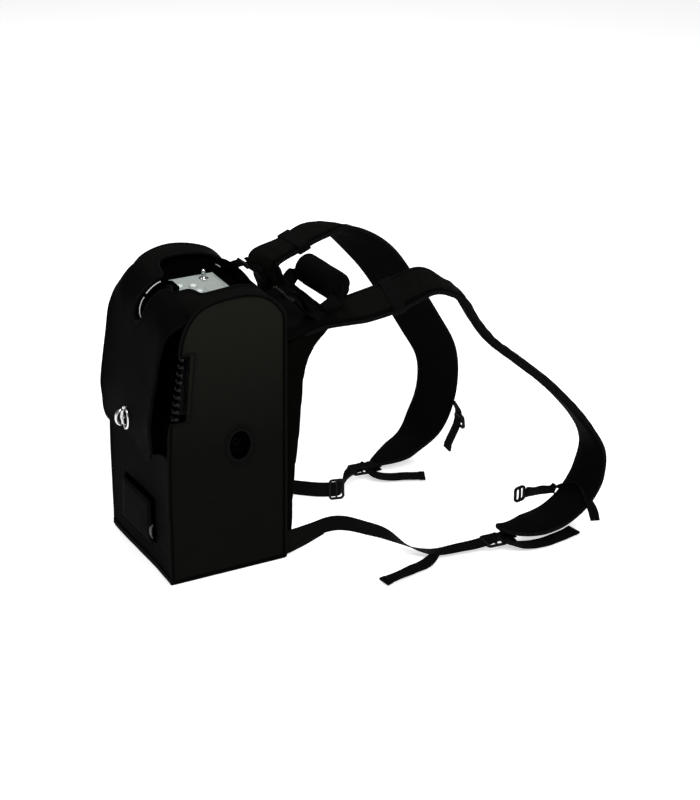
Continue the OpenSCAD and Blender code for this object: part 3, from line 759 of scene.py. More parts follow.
for side, tag in SIDE.items():
    vent_path = [(y, 255) for y in np.linspace(front_y(256) + 1, -58, 8)] + [(-53, 256), (-51.2, 259)]
    vent_path += [(-51.2 + 10.6 * t, 259 + 94 * t) for t in np.linspace(0.05, 1, 20)]
    vent_path += [(-41, 356), (-44, 357.2)] + [(y, 357.2) for y in np.linspace(-48, front_y(357), 6)]
    C, _ = even(np.array([(side * (HALF + 0.9), y, z) for y, z in vent_path]), 2.4)
    tape_ring(f"vent_binding_{tag}", C, (1, 0, 0), 2.6, 2.2, False)
    T = unit(np.gradient(C, axis=0))
    out = np.cross(T, np.array([1.0, 0, 0]))
    sgn = 1 if out[len(out) // 2][1] > 0 else -1
    sew("case", f"vent_stitches_{tag}", C + out * sgn * 3.4 + [side * 0.6, 0, 0], (side, 0, 0))

    # moulded louvre ribs in the vent, their front ends wrapping round the corner
    ribs = []
    for k in range(9):
        z = 262.5 + 11.0 * k
        y0 = front_y(z)
        end = -66.5 + 11.0 * k / 9
        line = [(side * (HALF - 9), y0 + 8, z), (side * (HALF - 4.0), y0 + 6.5, z),
                (side * (HALF - 1.2), y0 + 9.0, z), (side * (HALF - 1.4), (y0 + end) / 2 + 4, z),
                (side * (HALF - 2.4), end - 3, z), (side * (HALF - 6), end, z)]
        ribs.append(sweep(f"louvre_{tag}_{k}", spline(line, 6), (0, 0, 1),
                          lambda i, s: round_rect(5.4, 4.6, 2.2), "louvre_gloss"))
    ribs = join(f"louvre_ribs_{tag}", *ribs)
    place(ribs, "case")
    if side > 0:
        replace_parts(ribs, "louvres")

ring = np.array([(HALF + 2.2, y, z) for y, z in ellipse(*PORT, 18.6, 24.8, 64)])
tape_ring("port_binding", ring, (1, 0, 0), 5.0, 3.2, True)
ring = np.array([(HALF + 2.0, y, z) for y, z in ellipse(*PORT, 22.8, 30.6, 72)])
tape_ring("port_outer_ring", ring, (1, 0, 0), 1.8, 1.6, True)
for a, b, nm in ((20.9, 28.0, "port_stitches_a"), (25.0, 33.0, "port_stitches_b")):
    C = np.array([(HALF + 2.5, y, z) for y, z in ellipse(*PORT, a, b, 90)])
    sew("case", nm, C, (1, 0, 0), long=2.6, gap=1.4)

# ---------------------------------------------------------------- lower front cover
def cover_lean(x, z):
    """The cover spreads to the left towards its foot and follows the case's front."""
    return x - 9.0 * smoothstep(20, -56, x) * (1 - (z - 40.5) / 70), 3.4 + 6.0 * smoothstep(70, -97, x)


def cover_sheet(u, v):
    x = -52 + 95 * u
    z = 40.5 + 69 * v
    edge = min(x + 52, 43 - x, z - 40.5, 109.5 - z)
    lean, toe = cover_lean(x, z)
    y = -86.8 - toe - 2.0 * smoothstep(0, 9, edge) + 0.5 * soft(x, z, 0, 26, 8)
    y -= 0.6 * math.exp(-((x + 5) / 60) ** 2)
    x = lean
    fold = 0.8 * math.exp(-((z - 50) / 2.0) ** 2)
    return (x, y + fold, z), (x, z)


ac = grid("access_cloth", cover_sheet, 50, 40, "flap_fabric", 2.6, inward=False)
place(ac, "access_cover", "access_cover")


def rect_path(x0, x1, z0, z1, r, y):
    outline = round_rect(x1 - x0, z1 - z0, r, 5)
    return np.array([((x0 + x1) / 2 + a, y, (z0 + z1) / 2 + b) for a, b in outline])


def closed_even(C, step):
    C = np.vstack([C, C[:1]])
    return even(C, step)[0][:-1]


st_path = np.array([(cover_lean(x, z)[0], y - cover_lean(x, z)[1], z)
                    for x, y, z in closed_even(rect_path(-47, 38, 45.5, 104.5, 5, -89.2), 2.4)])
sew("access_cover", "access_stitches", st_path, (0, -1, 0))
tab_line = [(40.5, y, z) for y, z in ((-91.6, 49), (-93.4, 53), (-93.8, 60), (-93.0, 67), (-90.8, 71))]
tab = sweep("access_pull", spline(tab_line, 6), ACROSS, lambda i, s: round_rect(11.0, 1.8, 0.8), "tab_grey")
place(tab, "access_cover", "access_tab")


# ---------------------------------------------------------------- padded straps
def pad_section(w, t, s, bend, seed, tip=1.0):
    """Outline of a padded strap at s mm along; bend wrinkles the inner face. +up is the outer face."""
    a = w / 2 * tip
    out = []
    nx = 17
    for k in range(nx):
        x = a - 2 * a * k / (nx - 1)
        out.append((x, +1))
    for k in range(nx - 2, 0, -1):
        x = a - 2 * a * k / (nx - 1)
        out.append((x, -1))
    res = []
    for x, sgn in out:
        f = abs(x) / a
        h = t / 2 * (1 - 0.82 * f**5) if f < 1 else t * 0.09
        groove = math.exp(-((abs(x) - (a - 9)) / 1.8) ** 2)
        h -= 1.5 * groove
        puff = 0.8 * soft(x, s, sgn * 9, 34, seed) + 0.35 * soft(x, s, sgn * 9, 12, seed + 5)
        crease = bend * (0.5 + 0.5 * math.sin(s / 3.1 + 1.3 * math.sin(x / 19 + seed))) * (1 - f**2)
        h += puff * (1 - f**2) - crease * (1.0 if sgn < 0 else 0.35)
        res.append((x, sgn * h))
    return res


def padded_strap(tag, P, D, w, t, seed, tip_from=0.93):
    """Padded strap along P, its width along D."""
    C = spline(P, 16)
    Wd = unit(spline(D, 16))
    C6, f = even(np.hstack([C, Wd]), 3.0)
    C, Wd = C6[:, :3], unit(C6[:, 3:])
    L = lengths(C)
    T, S, U = frames(C, Wd)
    turn = np.linalg.norm(np.gradient(T, axis=0), axis=1) / 3.0
    turn = np.convolve(turn, np.ones(15) / 15, "same")

    def tip(i):
        q = L[i] / L[-1]
        return 1.0 if q < tip_from else 1.0 - 0.72 * ((q - tip_from) / (1 - tip_from)) ** 1.2

    def hang(o):
        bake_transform(o)

    def sec(i, s):
        thin = 0.55 + 0.45 * smoothstep(0, 40, s)
        thin *= 1 - 0.35 * smoothstep(L[-1] * tip_from, L[-1], s)
        return pad_section(w - 3, t * thin, s, min(1.8, 120 * turn[i]), seed, tip(i))

    o = sweep(f"strap_{tag}_pad", C, Wd, sec, "pad_fabric")
    o.data.materials.append(MATS["mesh_lining"])
    m = 32
    for n, poly in enumerate(o.data.polygons):
        k = n % m
        if 18 <= k <= 29 and n < m * (len(C) - 1):
            poly.material_index = 1
    hang(o)
    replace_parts(o, f"strap_pad_{tag}")
    # binding along both edges and round the tip, with its stitches
    edge = [C[i] + S[i] * (w / 2 - 1.6) * tip(i) for i in range(len(C))]
    other = [C[i] - S[i] * (w / 2 - 1.6) * tip(i) for i in range(len(C))]
    loop = np.array(edge + [C[-1] + T[-1] * 3.0] + other[::-1])
    ups = np.concatenate([U, U[-1:], U[::-1]])
    both, _ = even(np.hstack([loop, ups]), 3.0)
    loop, ups = both[:, :3], unit(both[:, 3:])
    edging = round_rect(5.4, 4.6, 1.9)
    hang(sweep(f"strap_{tag}_binding", loop, ups, lambda i, s: edging, "binding_tape"))
    for sgn, nm in ((1, "a"), (-1, "b")):
        row = np.array([C[i] + sgn * S[i] * max(2, w / 2 * tip(i) - 9.0)
                        + U[i] * t * 0.36 * (1 - 0.3 * smoothstep(L[-1] * tip_from, L[-1], L[i]))
                        for i in range(6, len(C) - 4)])
        hang(stitches(f"strap_{tag}_stitches_{nm}", row, U[6:-4], 3.4, 1.8, 0.42))
    return C, S, U, T


PAD_R = [(55, 140, 343), (57, 172, 349), (57, 212, 352), (57, 242, 355), (60, 290, 364), (76, 338, 385),
         (88, 372, 374), (95, 390, 358), (103, 410, 322), (115, 432, 289), (135, 463, 261), (155, 512, 216),
         (175, 552, 166), (189, 572, 120), (200, 562, 80), (206, 543, 54), (210, 520, 36), (217, 488, 26),
         (226, 450, 26), (226, 415, 27), (224, 391, 34)]
DIR_R = [(1, 0, 0), (1, 0, 0), (1, 0, -0.15), (1, 0, -0.3), (1, 0, -0.35), (1, 0, -0.3), (1, -0.1, -0.1),
         (1, -0.2, 0), (1, -0.3, 0.1), (1, -0.3, 0.2), (1, -0.3, 0.2), (1, -0.3, 0.2), (1, -0.2, 0.2),
         (1, 0, 0.1), (1, 0.15, 0), (1, 0.2, 0), (1, 0.15, 0), (1, 0.1, 0), (1, 0.1, 0), (1, 0, 0),
         (1, 0, 0)]
PAD_L = [(-58, 142, 340), (-70, 160, 356), (-80, 157, 378), (-86, 156, 398), (-86, 196, 413), (-90, 240, 427),
         (-98, 282, 422), (-100, 345, 370), (-100, 390, 306), (-100, 430, 240), (-100, 460, 184),
         (-100, 465, 131), (-100, 453, 82), (-98, 424, 42), (-92, 385, 22), (-82, 341, 16)]
DIR_L = [(1, 0, 0), (1, 0.3, 0), (1, 0.3, 0), (1, 0.3, 0), (1, 0, 0), (1, 0.1, 0), (0.9, 0.4, 0.2),
         (0.6, 0.7, 0.4), (0.5, 0.8, 0.3), (0.45, 0.87, 0.15), (0.45, 0.89, 0), (0.45, 0.89, 0),
         (0.55, 0.8, 0), (0.8, 0.4, 0.1), (1, 0.1, 0), (1, 0.1, 0)]
right = padded_strap("right", PAD_R, DIR_R, 65, 14, seed=1.0)
left = padded_strap("left", PAD_L, DIR_L, 65, 14, seed=4.0)


def keeper_band(tag, S, at):
    """Webbing keeper laid round the pad, with two rows of stitches across it."""
    C, Sd, U, T = S
    i = int(np.argmin(np.linalg.norm(C - np.array(at), axis=1)))
    loop = []
    a, b = 33.5, 7.6
    p = 2 / 5.0  # squareness of the loop
    for k in range(48):
        g = 2 * math.pi * k / 48
        ca, sa = math.cos(g), math.sin(g)
        loop.append(C[i] + Sd[i] * a * abs(ca) ** p * (1 if ca > 0 else -1)
                    + U[i] * b * abs(sa) ** p * (1 if sa > 0 else -1))
    loop = closed_even(np.array(loop), 2.0)
    o = sweep(f"keeper_{tag}_band", loop, T[i], lambda i, s: round_rect(19, 2.0, 0.9), "webbing", closed=True)
    place(o, f"strap_{tag}", f"keeper_{tag}")
    for sg in (-1, 1):
        line = np.array([C[i] + T[i] * sg * 7.0 + Sd[i] * x + U[i] * (b + 1.1)
                         for x in np.linspace(-27, 27, 24)])
        sew(f"strap_{tag}", f"keeper_{tag}_stitch_{sg + 1}", line, U[i])


keeper_band("right", right, (60, 298, 358))
keeper_band("left", left, (-87, 205, 416))


# ---------------------------------------------------------------- webbing and buckles
def webbing(name, P, D, w=25.0, t=1.9, body=None, node=None, seed=0.0, wave=1.0, n=14,
            end_hem=True, mat="webbing"):
    """Ribbed webbing along P, its width along D (one for all, or one per point)."""
    D = np.broadcast_to(np.asarray(D, float), (len(P), 3))
    C = spline(P, n)
    Wd = unit(spline(D, n))
    both, _ = even(np.hstack([C, Wd]), 2.0)
    C, Wd = both[:, :3], unit(both[:, 3:])
    T, S, U = frames(C, Wd)
    L = lengths(C)
    C = C + U * np.array([[wave * 0.9 * soft(s, seed * 7, 0, 24, seed)] for s in L])

    def sec(i, s):
        cup = 0.5 * math.sin(s / 17 + seed)
        hem = 1.9 if end_hem and L[-1] - s < 9 else 1.0
        out = []
        for x, y in round_rect(w, t * hem, 0.8, 3):
            rib = 0.14 * math.cos(x / w * math.pi * 16)
            out.append((x, y + (rib if y > 0 else -rib) + cup * (2 * x / w) ** 2))
        return out

    o = sweep(name, C, Wd, sec, mat)
    if body:
        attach(o, body)
    else:
        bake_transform(o)
    if node:
        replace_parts(o, node)


def rounded_frame(name, w, l, t, bars, origin, X, Y, body, node=None, rim=3.4):
    """Moulded buckle: rounded rim bars and cross bars. X across the webbing, Y along it."""
    mat = "buckle_plastic"
    X, Y = unit(X), unit(Y)
    Z = np.cross(X, Y)
    o0 = np.array(origin, float)
    ring = [o0 + X * a + Y * b for a, b in round_rect(w, l, 4.0, 6)]
    ring = closed_even(np.array(ring), 1.6)
    parts = [sweep(name, ring, Z, lambda i, s: round_rect(t, rim, 1.2), mat, closed=True)]
    for f in bars:
        y = -l / 2 + l * f
        bar = np.array([o0 + X * x + Y * y + Z * (0.9 * math.cos(x / w * math.pi))
                        for x in np.linspace(-w / 2 + 1.2, w / 2 - 1.2, 14)])
        parts.append(sweep(name + "_bar", bar, Z, lambda i, s: round_rect(t * 0.9, 3.0, 1.2), mat))
    lip = np.array([o0 + X * x + Y * (l / 2 + 1.0) + Z * (1.4 - 1.8 * (2 * x / w) ** 2)
                    for x in np.linspace(-w / 2 + 3, w / 2 - 3, 14)])
    parts.append(sweep(name + "_lip", lip, Z, lambda i, s: round_rect(2.0, 3.4, 0.9), mat))
    place(join(name, *parts), body, node)


# gathered cloth wings the lower webbings are sewn into
for side, tag in ((1, "right"), (-1, "left")):
    P = spline([(side * 97, 82, 21), (side * 99.5, 97, 22), (side * 100, 114, 24), (side * 99.8, 134, 28),
                (side * 101, 156, 34)], 10)
    P, f = even(P, 1.6)

    hull_line = round_rect(42, 7.0, 2.0, 3)
    base = []
    for k in range(len(hull_line)):
        a, b = hull_line[k], hull_line[(k + 1) % len(hull_line)]
        m = max(1, int(math.dist(a, b) / 1.5))
        base += [(a[0] + (b[0] - a[0]) * j / m, a[1] + (b[1] - a[1]) * j / m) for j in range(m)]

    def wing(i, s, f=f):
        q = 1 - 0.38 * f[i]
        h = 1 - 0.55 * f[i]
        return [(x * q, y * h + (0.9 - 0.65 * f[i]) * math.sin(x / 2.6 + 1.5 * math.sin(s / 10)))
                for x, y in base]

    wg = sweep(f"webbing_wing_{tag}", P, (0, 0, 1), wing, "case_nylon")
    place(wg, "case")

# lower webbings: sewn at the case's foot, through the ladder locks, with their loose tails
webbing("webbing_right",
        [(99.5, 92, 21), (100, 104, 22), (100, 124, 26), (100, 150, 33), (107, 178, 38), (126, 206, 35),
         (152, 238, 25),
         (182, 262, 14), (204, 292, 8), (214, 340, 10), (218, 366, 13), (221, 378, 17), (222, 392, 18.5)],
        [UPRIGHT] * 5 + [(0.1, -0.1, 1), (0.2, -0.3, 1), (0.5, -0.7, 0.6), (1, -0.4, 0.15)] + [ACROSS] * 4,
        node="lower_webbing_right", seed=1.0, end_hem=False)
webbing("webbing_right_tail",
        [(222, 380, 19.5), (229, 388, 20), (238, 400, 14), (245, 420, 7), (247, 446, 4.6), (244, 480, 4.4),
         (238, 516, 6)],
        ACROSS, body="strap_right", seed=2.0)
webbing("webbing_right_end",
        [(206, 296, 11), (214, 284, 9), (224, 266, 5.5), (232, 237, 5), (238, 212, 5.5), (242, 186, 4.5)],
        [(1, -0.3, 0.3), (1, -0.1, 0.2), (1, 0.2, 0), (1, 0.2, 0), (1, 0.2, 0.1), (1, 0.2, 0)],
        body="strap_right", seed=3.0, w=22)
webbing("webbing_left",
        [(-97, 92, 23), (-96.5, 104, 24), (-95, 124, 26), (-84, 146, 26), (-66, 166, 25), (-49, 190, 22),
         (-36, 220, 18),
         (-28, 245, 17), (-33, 257, 17), (-45, 271, 16), (-60, 284, 15), (-72, 295, 16), (-77, 306, 17),
         (-78, 322, 18)],
        [UPRIGHT] * 8 + [(0, 0.1, 1), (0.3, 0.3, 0.9), (0.6, 0.5, 0.5), (0.9, 0.4, 0.1), (1, 0.1, 0), ACROSS],
        node="lower_webbing_left", seed=5.0, end_hem=False)
webbing("webbing_left_tail",
        [(-77, 310, 19.5), (-70, 316, 20), (-58, 326, 12), (-48, 342, 7), (-38, 370, 5), (-24, 402, 5)],
        [ACROSS, (1, -0.2, 0), (1, -0.4, 0), (1, -0.3, 0), (1, -0.3, 0), (1, -0.3, 0)], body="strap_left",
        seed=6.0)


def along(deg):
    return (math.cos(math.radians(deg)), math.sin(math.radians(deg)), 0)


for tag, p, deg in (("right", (222, 396, 13), 266), ("left", (-77, 326, 13), 264)):
    d = np.array(along(deg))
    x = np.array(along(deg + 90))
    rounded_frame(f"ladder_{tag}", 32, 30, 4.2, (0.06, 0.5), np.array(p) + d * 13, x, d, f"ladder_{tag}",
                  f"ladder_lock_{tag}")
    # the sewn loop that holds the ladder lock on the pad's tip
    q = np.array(p, float)
    loop = [q + d * a + (0, 0, h) for a, h in ((-20, 4), (-10, 4.2), (-2, 4.0), (3.4, 0), (-2, -3.4),
                                               (-10, -2.4), (-20, -2))]
    webbing(f"tip_loop_{tag}", loop, x, w=24, body=f"strap_{tag}", wave=0.2, seed=8.0, n=8,
            end_hem=False)

rounded_frame("tri_glide", 32, 21, 4.2, (0.5,), (-26.6, 244.6, 17), UPRIGHT, along(75), "strap_left",
              "tri_glide_left")

# sternum webbings with their buckle halves
webbing("sternum_right",
        [(262, 537, 28), (250, 539, 40), (228, 541, 53), (206, 541, 62), (184, 532, 54), (170, 516, 44),
         (168, 498, 46),
         (173, 480, 50), (178, 464, 54)],
        [(0, 0.9, -0.3), (0, 1, -0.2), (0, 0.8, -0.5), (0, 0.7, -0.6), (0, 0.8, -0.4), (0.4, 0.6, 0.6),
         (0.3, 0.1, 1),
         (0.3, 0.3, 1), (0.2, 0, 1)], w=18, body="strap_right", node="sternum_webbing_right", seed=9.0)
rounded_frame("sternum_clip_right", 22, 18, 5.0, (0.5,), (179, 453, 55), UPRIGHT, (0.2, -0.98, 0),
              "strap_right",
              "sternum_buckle_right")
webbing("sternum_left",
        [(-78, 482, 98), (-71, 488, 82), (-68, 485, 62), (-69, 478, 44), (-71, 472, 28), (-72, 470, 17)],
        ACROSS, w=20, body="strap_left", node="sternum_webbing_left", seed=10.0)
rounded_frame("sternum_clip_left", 24, 20, 5.0, (0.5,), (-68, 490, 66), ACROSS, (0, 0.1, -1), "strap_left",
              "sternum_buckle_left")

# load lifters: case top, ladder buckle, yoke
for x, tag in ((64, "right"), (-64, "left")):
    shown = x > 0  # one piece of each kind stands in for its CAD node
    # the lifter webbings wear the painted-shade mesh colour, as they lie in the shadow behind the case
    webbing(f"lifter_{tag}_a", [(x, 84, 408), (x, 92, 405), (x, 100, 407), (x, 110, 407.5), (x, 116, 404)],
            ACROSS, body="case", node="fixed_webbing" if shown else None, seed=11 + x, wave=0.4,
            end_hem=False,
            mat="painted_shade_mesh")
    webbing(f"lifter_{tag}_b",
            [(x, 112, 401), (x, 120, 401.5), (x, 128, 394), (x, 138, 381), (x, 150, 366), (x, 160, 359)],
            ACROSS, body="case", seed=12 + x, wave=0.5, end_hem=False, mat="painted_shade_mesh")
    webbing(f"lifter_{tag}_tail",
            [(x + 1, 116, 408), (x + 2, 124, 409), (x + 3, 136, 400), (x + 4, 146, 384), (x + 6, 152, 371)],
            ACROSS, body="case", seed=13 + x, wave=0.8, mat="painted_shade_mesh")
    rounded_frame(f"lifter_buckle_{tag}", 32, 22, 4.2, (0.36, 0.64), (x, 117, 402), ACROSS, (0, 0.77, -0.64),
                  "case",
                  "lifter_buckles" if shown else None)

# ---------------------------------------------------------------- grab handle, yoke and back pad
ROLL_HALF, ROLL_R = 54, 23.0
ga = np.array(along(4))
gc = np.array([8, 205, 392.0])
line = np.array([gc + ga * x for x in np.linspace(-ROLL_HALF, ROLL_HALF, 60)])


def roll(i, s):
    x = s - ROLL_HALF
    end = 1 - 0.5 * smoothstep(ROLL_HALF - 10, ROLL_HALF, abs(x))
    out = []
    for k in range(36):
        g = 2 * math.pi * k / 36
        r = ROLL_R * end
        r -= 1.6 * math.exp(-((abs(x) - 42) / 1.6) ** 2)
        r -= 1.8 * math.exp(-((math.degrees(g) - 262) / 7) ** 2)
        r += 0.7 * soft(x, 20 * math.cos(g), 20 * math.sin(g), 22, 3)
        r += 0.3 * math.sin(x / 4.2 + 2 * math.sin(g)) * smoothstep(16, 40, abs(x))
        out.append((r * math.cos(g), r * 0.92 * math.sin(g)))
    return out


gh = sweep("grab_roll", line, (0, 0, 1), roll, "pad_fabric")
place(gh, "grab_handle", "grab_handle")
seam = np.array([gc + ga * x + (0, -21.6, 2.0) for x in np.linspace(-44, 44, 50)])
sew("grab_handle", "grab_stitches", seam, (0, -1.0, 0.1))
for sg, tag in ((-1, "left"), (1, "right")):
    e = gc + ga * sg * 51
    webbing(f"grab_web_{tag}",
            [e - ga * sg * 4, e + ga * sg * 7 + (0, -5, -4), e + ga * sg * 10 + (0, -16, -14), e
             + (sg * 6, -28, -25)],
            [(0, 0.2, 1), (0, 0.6, 0.8), (0.2, 1, 0.2), (0.2, 1, 0)], w=22, body="grab_handle", wave=0.3,
            seed=14 + sg)


CLOTH_FRAMES = 20
MOST_PUFF = 0.005  # metres


def soft_block(name, o, mat, node, size=5.0, pressure=4.0):
    """Turns a closed prism into a cushion, inflated by a short cloth run."""
    o.name = name
    m = o.modifiers.new("remesh", "REMESH")
    m.mode = "VOXEL"
    m.voxel_size = size * MM
    baked(o)
    rest = np.array([v.co for v in o.data.vertices])
    c = o.modifiers.new("cloth", "CLOTH")
    c.settings.quality = 4
    c.settings.mass = 0.2
    c.settings.tension_stiffness = 12
    c.settings.compression_stiffness = 12
    c.settings.bending_stiffness = 0.4
    c.settings.use_pressure = True
    c.settings.uniform_pressure_force = pressure
    c.settings.effector_weights.gravity = 0
    c.point_cache.frame_start = 1
    c.point_cache.frame_end = CLOTH_FRAMES
    for f in range(1, CLOTH_FRAMES + 1):
        bpy.context.scene.frame_set(f)
    baked(o)
    bpy.context.scene.frame_set(1)
    now = np.array([v.co for v in o.data.vertices])
    d = now - rest
    n = np.linalg.norm(d, axis=1, keepdims=True)
    now = rest + d * np.minimum(1, MOST_PUFF / np.maximum(n, 1e-9))
    o.data.vertices.foreach_set("co", now.astype(np.float32).ravel())
    s = o.modifiers.new("sub", "SUBSURF")
    s.levels = s.render_levels = 1
    baked(o)
    me = o.data
    me.materials.clear()
    me.materials.append(MATS[mat])
    me.polygons.foreach_set("use_smooth", [True] * len(me.polygons))
    if not me.uv_layers:
        layer = me.uv_layers.new(name="UVMap")
        for loop in me.loops:
            v = me.vertices[loop.vertex_index]
            k = v.co + v.normal * 0.001
            layer.data[loop.index].uv = (k.x, k.z + k.y * 0.4)
    place(o, "case", node)


PAD_HALF = 88
PAD_BACK = spline([(114, 5), (118, 45), (122, 110), (129, 170), (133, 210), (137, 250), (140, 274),
                   (148, 302),
                   (161, 322), (177, 338), (188, 349)], 8)
PAD_FRONT = [(97, 6), (98.5, 180), (101, 318), (106, 336), (130, 342), (160, 347), (182, 351)]
o = prism(PAD_FRONT + [tuple(p) for p in PAD_BACK[::-1]], 0, -PAD_HALF, PAD_HALF)
# the back cushion wears the painted-shade mesh, as it sits in shadow behind the case
soft_block("back_cushion", o, "painted_shade_mesh", "back_pad")
for k, x in enumerate((-30, 30)):
    line = np.array([(x, float(np.interp(z, PAD_BACK[:, 1], PAD_BACK[:, 0])) + 3.6, z)
                     for z in np.linspace(24, 312, 100)])
    sew("case", f"back_quilt_{k}", line, (0, 1, 0), long=3.6, gap=2.0, r=0.5)
yoke_line = spline([(108, 0, 342), (132, 0, 345.5), (160, 0, 349.5), (196, 0, 356.5)], 10)
YOKE_T = 9.0
yk = prism([(p[0], p[2] + YOKE_T / 2) for p in yoke_line]
           + [(p[0], p[2] - YOKE_T / 2) for p in yoke_line[::-1]],
           0, -PAD_HALF, PAD_HALF)
soft_block("yoke_pad", yk, "pad_fabric", "strap_yoke", size=4.0, pressure=2.5)


# ---------------------------------------------------------------- turn-lock
def ring_faces(rows, n):
    """Side faces of rows of n points each, every row a closed ring."""
    return [(i * n + k, i * n + (k + 1) % n, (i + 1) * n + (k + 1) % n, (i + 1) * n + k)
            for i in range(rows - 1) for k in range(n)]


def lathe(name, prof, origin, axis, mat, body, n=48, sx=1.0, sz=1.0, node=None):
    """Revolved profile of (radius, height) pairs about axis, stretched sx across and sz up."""
    axis = unit(np.array(axis, float))
    a = unit(np.cross(axis, (0, 0, 1)) if abs(axis[2]) < 0.9 else np.array([1.0, 0, 0]))
    b = np.cross(axis, a)
    turn = [2 * math.pi * k / n for k in range(n)]
    V = [np.array(origin) + a * r * sx * math.cos(g) + b * r * sz * math.sin(g) + axis * h for r, h in prof
         for g in turn]
    m = len(prof)
    F = ring_faces(m, n)
    F += [tuple(range(n - 1, -1, -1)), tuple(range((m - 1) * n, m * n))]
    o = mesh(name, V, F, mat, [(v[0], v[2]) for v in V])
    place(o, body, node)


# oval plate as a ring of (half width, half height, y) turns
KNOB_Z, OVAL = 231, 64
PLATE = ((12.6, 18.0, -107.2), (12.6, 18.0, -108.4), (11.9, 17.3, -109.5), (10.2, 15.6, -109.7),
         (9.0, 15.2, -109.1),
         (7.4, 15.0, -107.9), (7.4, 15.0, -107.2))
V = []
for r0, r1, y in PLATE:
    for k in range(OVAL):
        g = 2 * math.pi * k / OVAL
        V.append((r0 * math.cos(g), y, LOCK_Z + r1 * math.sin(g)))
last = (len(PLATE) - 1) * OVAL
F = ring_faces(len(PLATE), OVAL)
F += [(last + k, last + (k + 1) % OVAL, (k + 1) % OVAL, k) for k in range(OVAL)]
eye = mesh("eyelet_plate", V, F, "nickel", [(v[0], v[2]) for v in V])
place(eye, "flap", "lock_eyelet")
for k, z in enumerate((LOCK_Z + 16.6, LOCK_Z - 16.6)):
    lathe(f"eyelet_rivet_{k}", [(0.1, 2.6), (1.0, 2.4), (1.7, 1.6), (1.9, 0.4), (1.9, 0.0)], (0, -107.9, z),
          (0, -1, 0),
          "nickel", "flap", n=16)
half_loop = [(-110.6, 9.6), (-113, 11.2), (-117, 10.6), (-120.6, 7.4), (-122.2, 2.6)]
loop = [(0, y, KNOB_Z + h) for y, h in half_loop] + [(0, y, KNOB_Z - h) for y, h in half_loop[::-1]]
kn = sweep("knob_loop", spline(loop, 8), ACROSS, lambda i, s: round_rect(4.6, 3.6, 1.7, 5), "nickel")
bar_line = [(0, -112.2, 242), (0, -112.6, 236), (0, -113.2, KNOB_Z), (0, -112.6, 226), (0, -112.2, 220)]
bar = sweep("knob_bar", spline(bar_line, 8), ACROSS,
            lambda i, s: round_rect(4.6, 3.8 + 1.2 * math.exp(-((s - 11) / 4) ** 2), 1.7, 5), "nickel")
lathe("knob_neck", [(2.4, 0), (2.4, 1.2), (3.4, 1.6), (3.4, 2.6), (2.6, 3.0)], (0, -110.1, KNOB_Z),
      (0, -1, 0),
      "nickel", "lock_knob", n=28)
place(kn, "lock_knob", "lock_knob")
place(bar, "lock_knob")


# ---------------------------------------------------------------- concentrator seen through the window
def bevel(node, width, segments=3, angle=35):
    m = nodes[node].modifiers.new("edge", "BEVEL")
    m.width = width * MM
    m.segments = segments
    m.limit_method = "ANGLE"
    m.angle_limit = math.radians(angle)


for node, w in (("top_deck", 1.2), ("control_panel", 0.5), ("housing_front", 0.8), ("housing_rear", 0.8),
                ("power_inlet", 0.4), ("base_tray", 0.8)):
    bevel(node, w)
for node in ("battery_pack", "valve_manifold", "compressor", "circuit_board", "fan_frame", "chassis_plate"):
    bevel(node, 0.6, 2)

# carry handle: a smooth arch with a grooved underside
half_arch = [(53, 412.5), (53.5, 416), (50.5, 420.5), (43, 424), (26, 427)]
arch = spline([(-x, z) for x, z in half_arch] + [(0, 428)] + half_arch[::-1], 10)
A = np.array([(p[0], 63.0, p[1]) for p in arch])


def handle_section(i, s):
    total = 240.0
    q = abs(s / total - 0.5) * 2
    w = 19.0 - 2.5 * smoothstep(0.3, 0.9, q)
    t = 10.5 - 1.0 * smoothstep(0.5, 1.0, q)
    out = []
    for x, y in round_rect(w, t, 4.0, 6):
        if y < 0:
            y += 1.6 * math.exp(-(x / 4.5) ** 2)
        out.append((x, y))
    return out


# the arch wears the painted-shade black
ch = sweep("handle_arch", A, (0, 1, 0), handle_section, "painted_shade_black")
place(ch, "case", "carry_handle")
for sg, tag in ((-1, "left"), (1, "right")):
    lathe(f"handle_foot_{tag}", [(8.6, 0.0), (8.6, 1.6), (7.6, 3.0), (6.6, 6.5), (6.3, 8.0)],
          (sg * 52.2, 63, 412.2),
          UPRIGHT, "shell_plastic", "case", n=32, sx=0.86, sz=1.18)

# nose rib: spine under the slot, with a raised crown, in near-black painted shade; thin pale beads along its
# edge are painted highlights
rib = spline([(-22, 421), (-42, 425.5), (-58, 419), (-69, 406), (-75, 390.5), (-74, 379), (-67, 370)], 12)
R = np.array([(0.0, p[0], p[1]) for p in rib])
T = unit(np.gradient(R, axis=0))
Nn = np.stack([np.zeros(len(R)), T[:, 2], -T[:, 1]], 1)
Nn = np.where(Nn[:, 2:3] + -Nn[:, 1:2] < 0, -Nn, Nn)


def rib_section(i, s):
    out = []
    for x, y in round_rect(29.0, 16.0, 4.5, 6):
        if y > 0:
            y += 1.0 * math.exp(-(x / 5.0) ** 2) - 1.0 * math.exp(-((abs(x) - 9) / 2.0) ** 2)
        out.append((x, y))
    return out


# thin pale bead that paints a highlight along a dark glossy edge
def painted_highlight_bead(name, pts, r):
    place(tube(name, spline(pts, 10), r, "painted_glint", n=12), "case")


painted_highlight_bead("nose_glint_bead", [(-3, -75.5, 375), (-3, -77.4, 384), (-3, -76.9, 393), (-3, -73.8, 402),
                        (-3, -69.5, 407.5)],
          0.8)
painted_highlight_bead("nose_glint_bead_upper", [(-3, -66.5, 412.5), (-3, -59, 419.4), (-3, -51, 424.2), (-3, -44, 426.8)], 0.8)
# the glint on the carry handle's edge, also a painted highlight
painted_highlight_bead("handle_glint_bead", [(-32, 53.6, 425.6), (-24, 53.0, 427.0), (-15, 52.8, 427.9)], 0.7)
# the spine wears the painted-shade black, as it sits in the shadowed slot
nr = sweep("nose_spine", R - Nn * 7.6, (1, 0, 0), rib_section, "painted_shade_black")
place(nr, "case", "nose_rib")

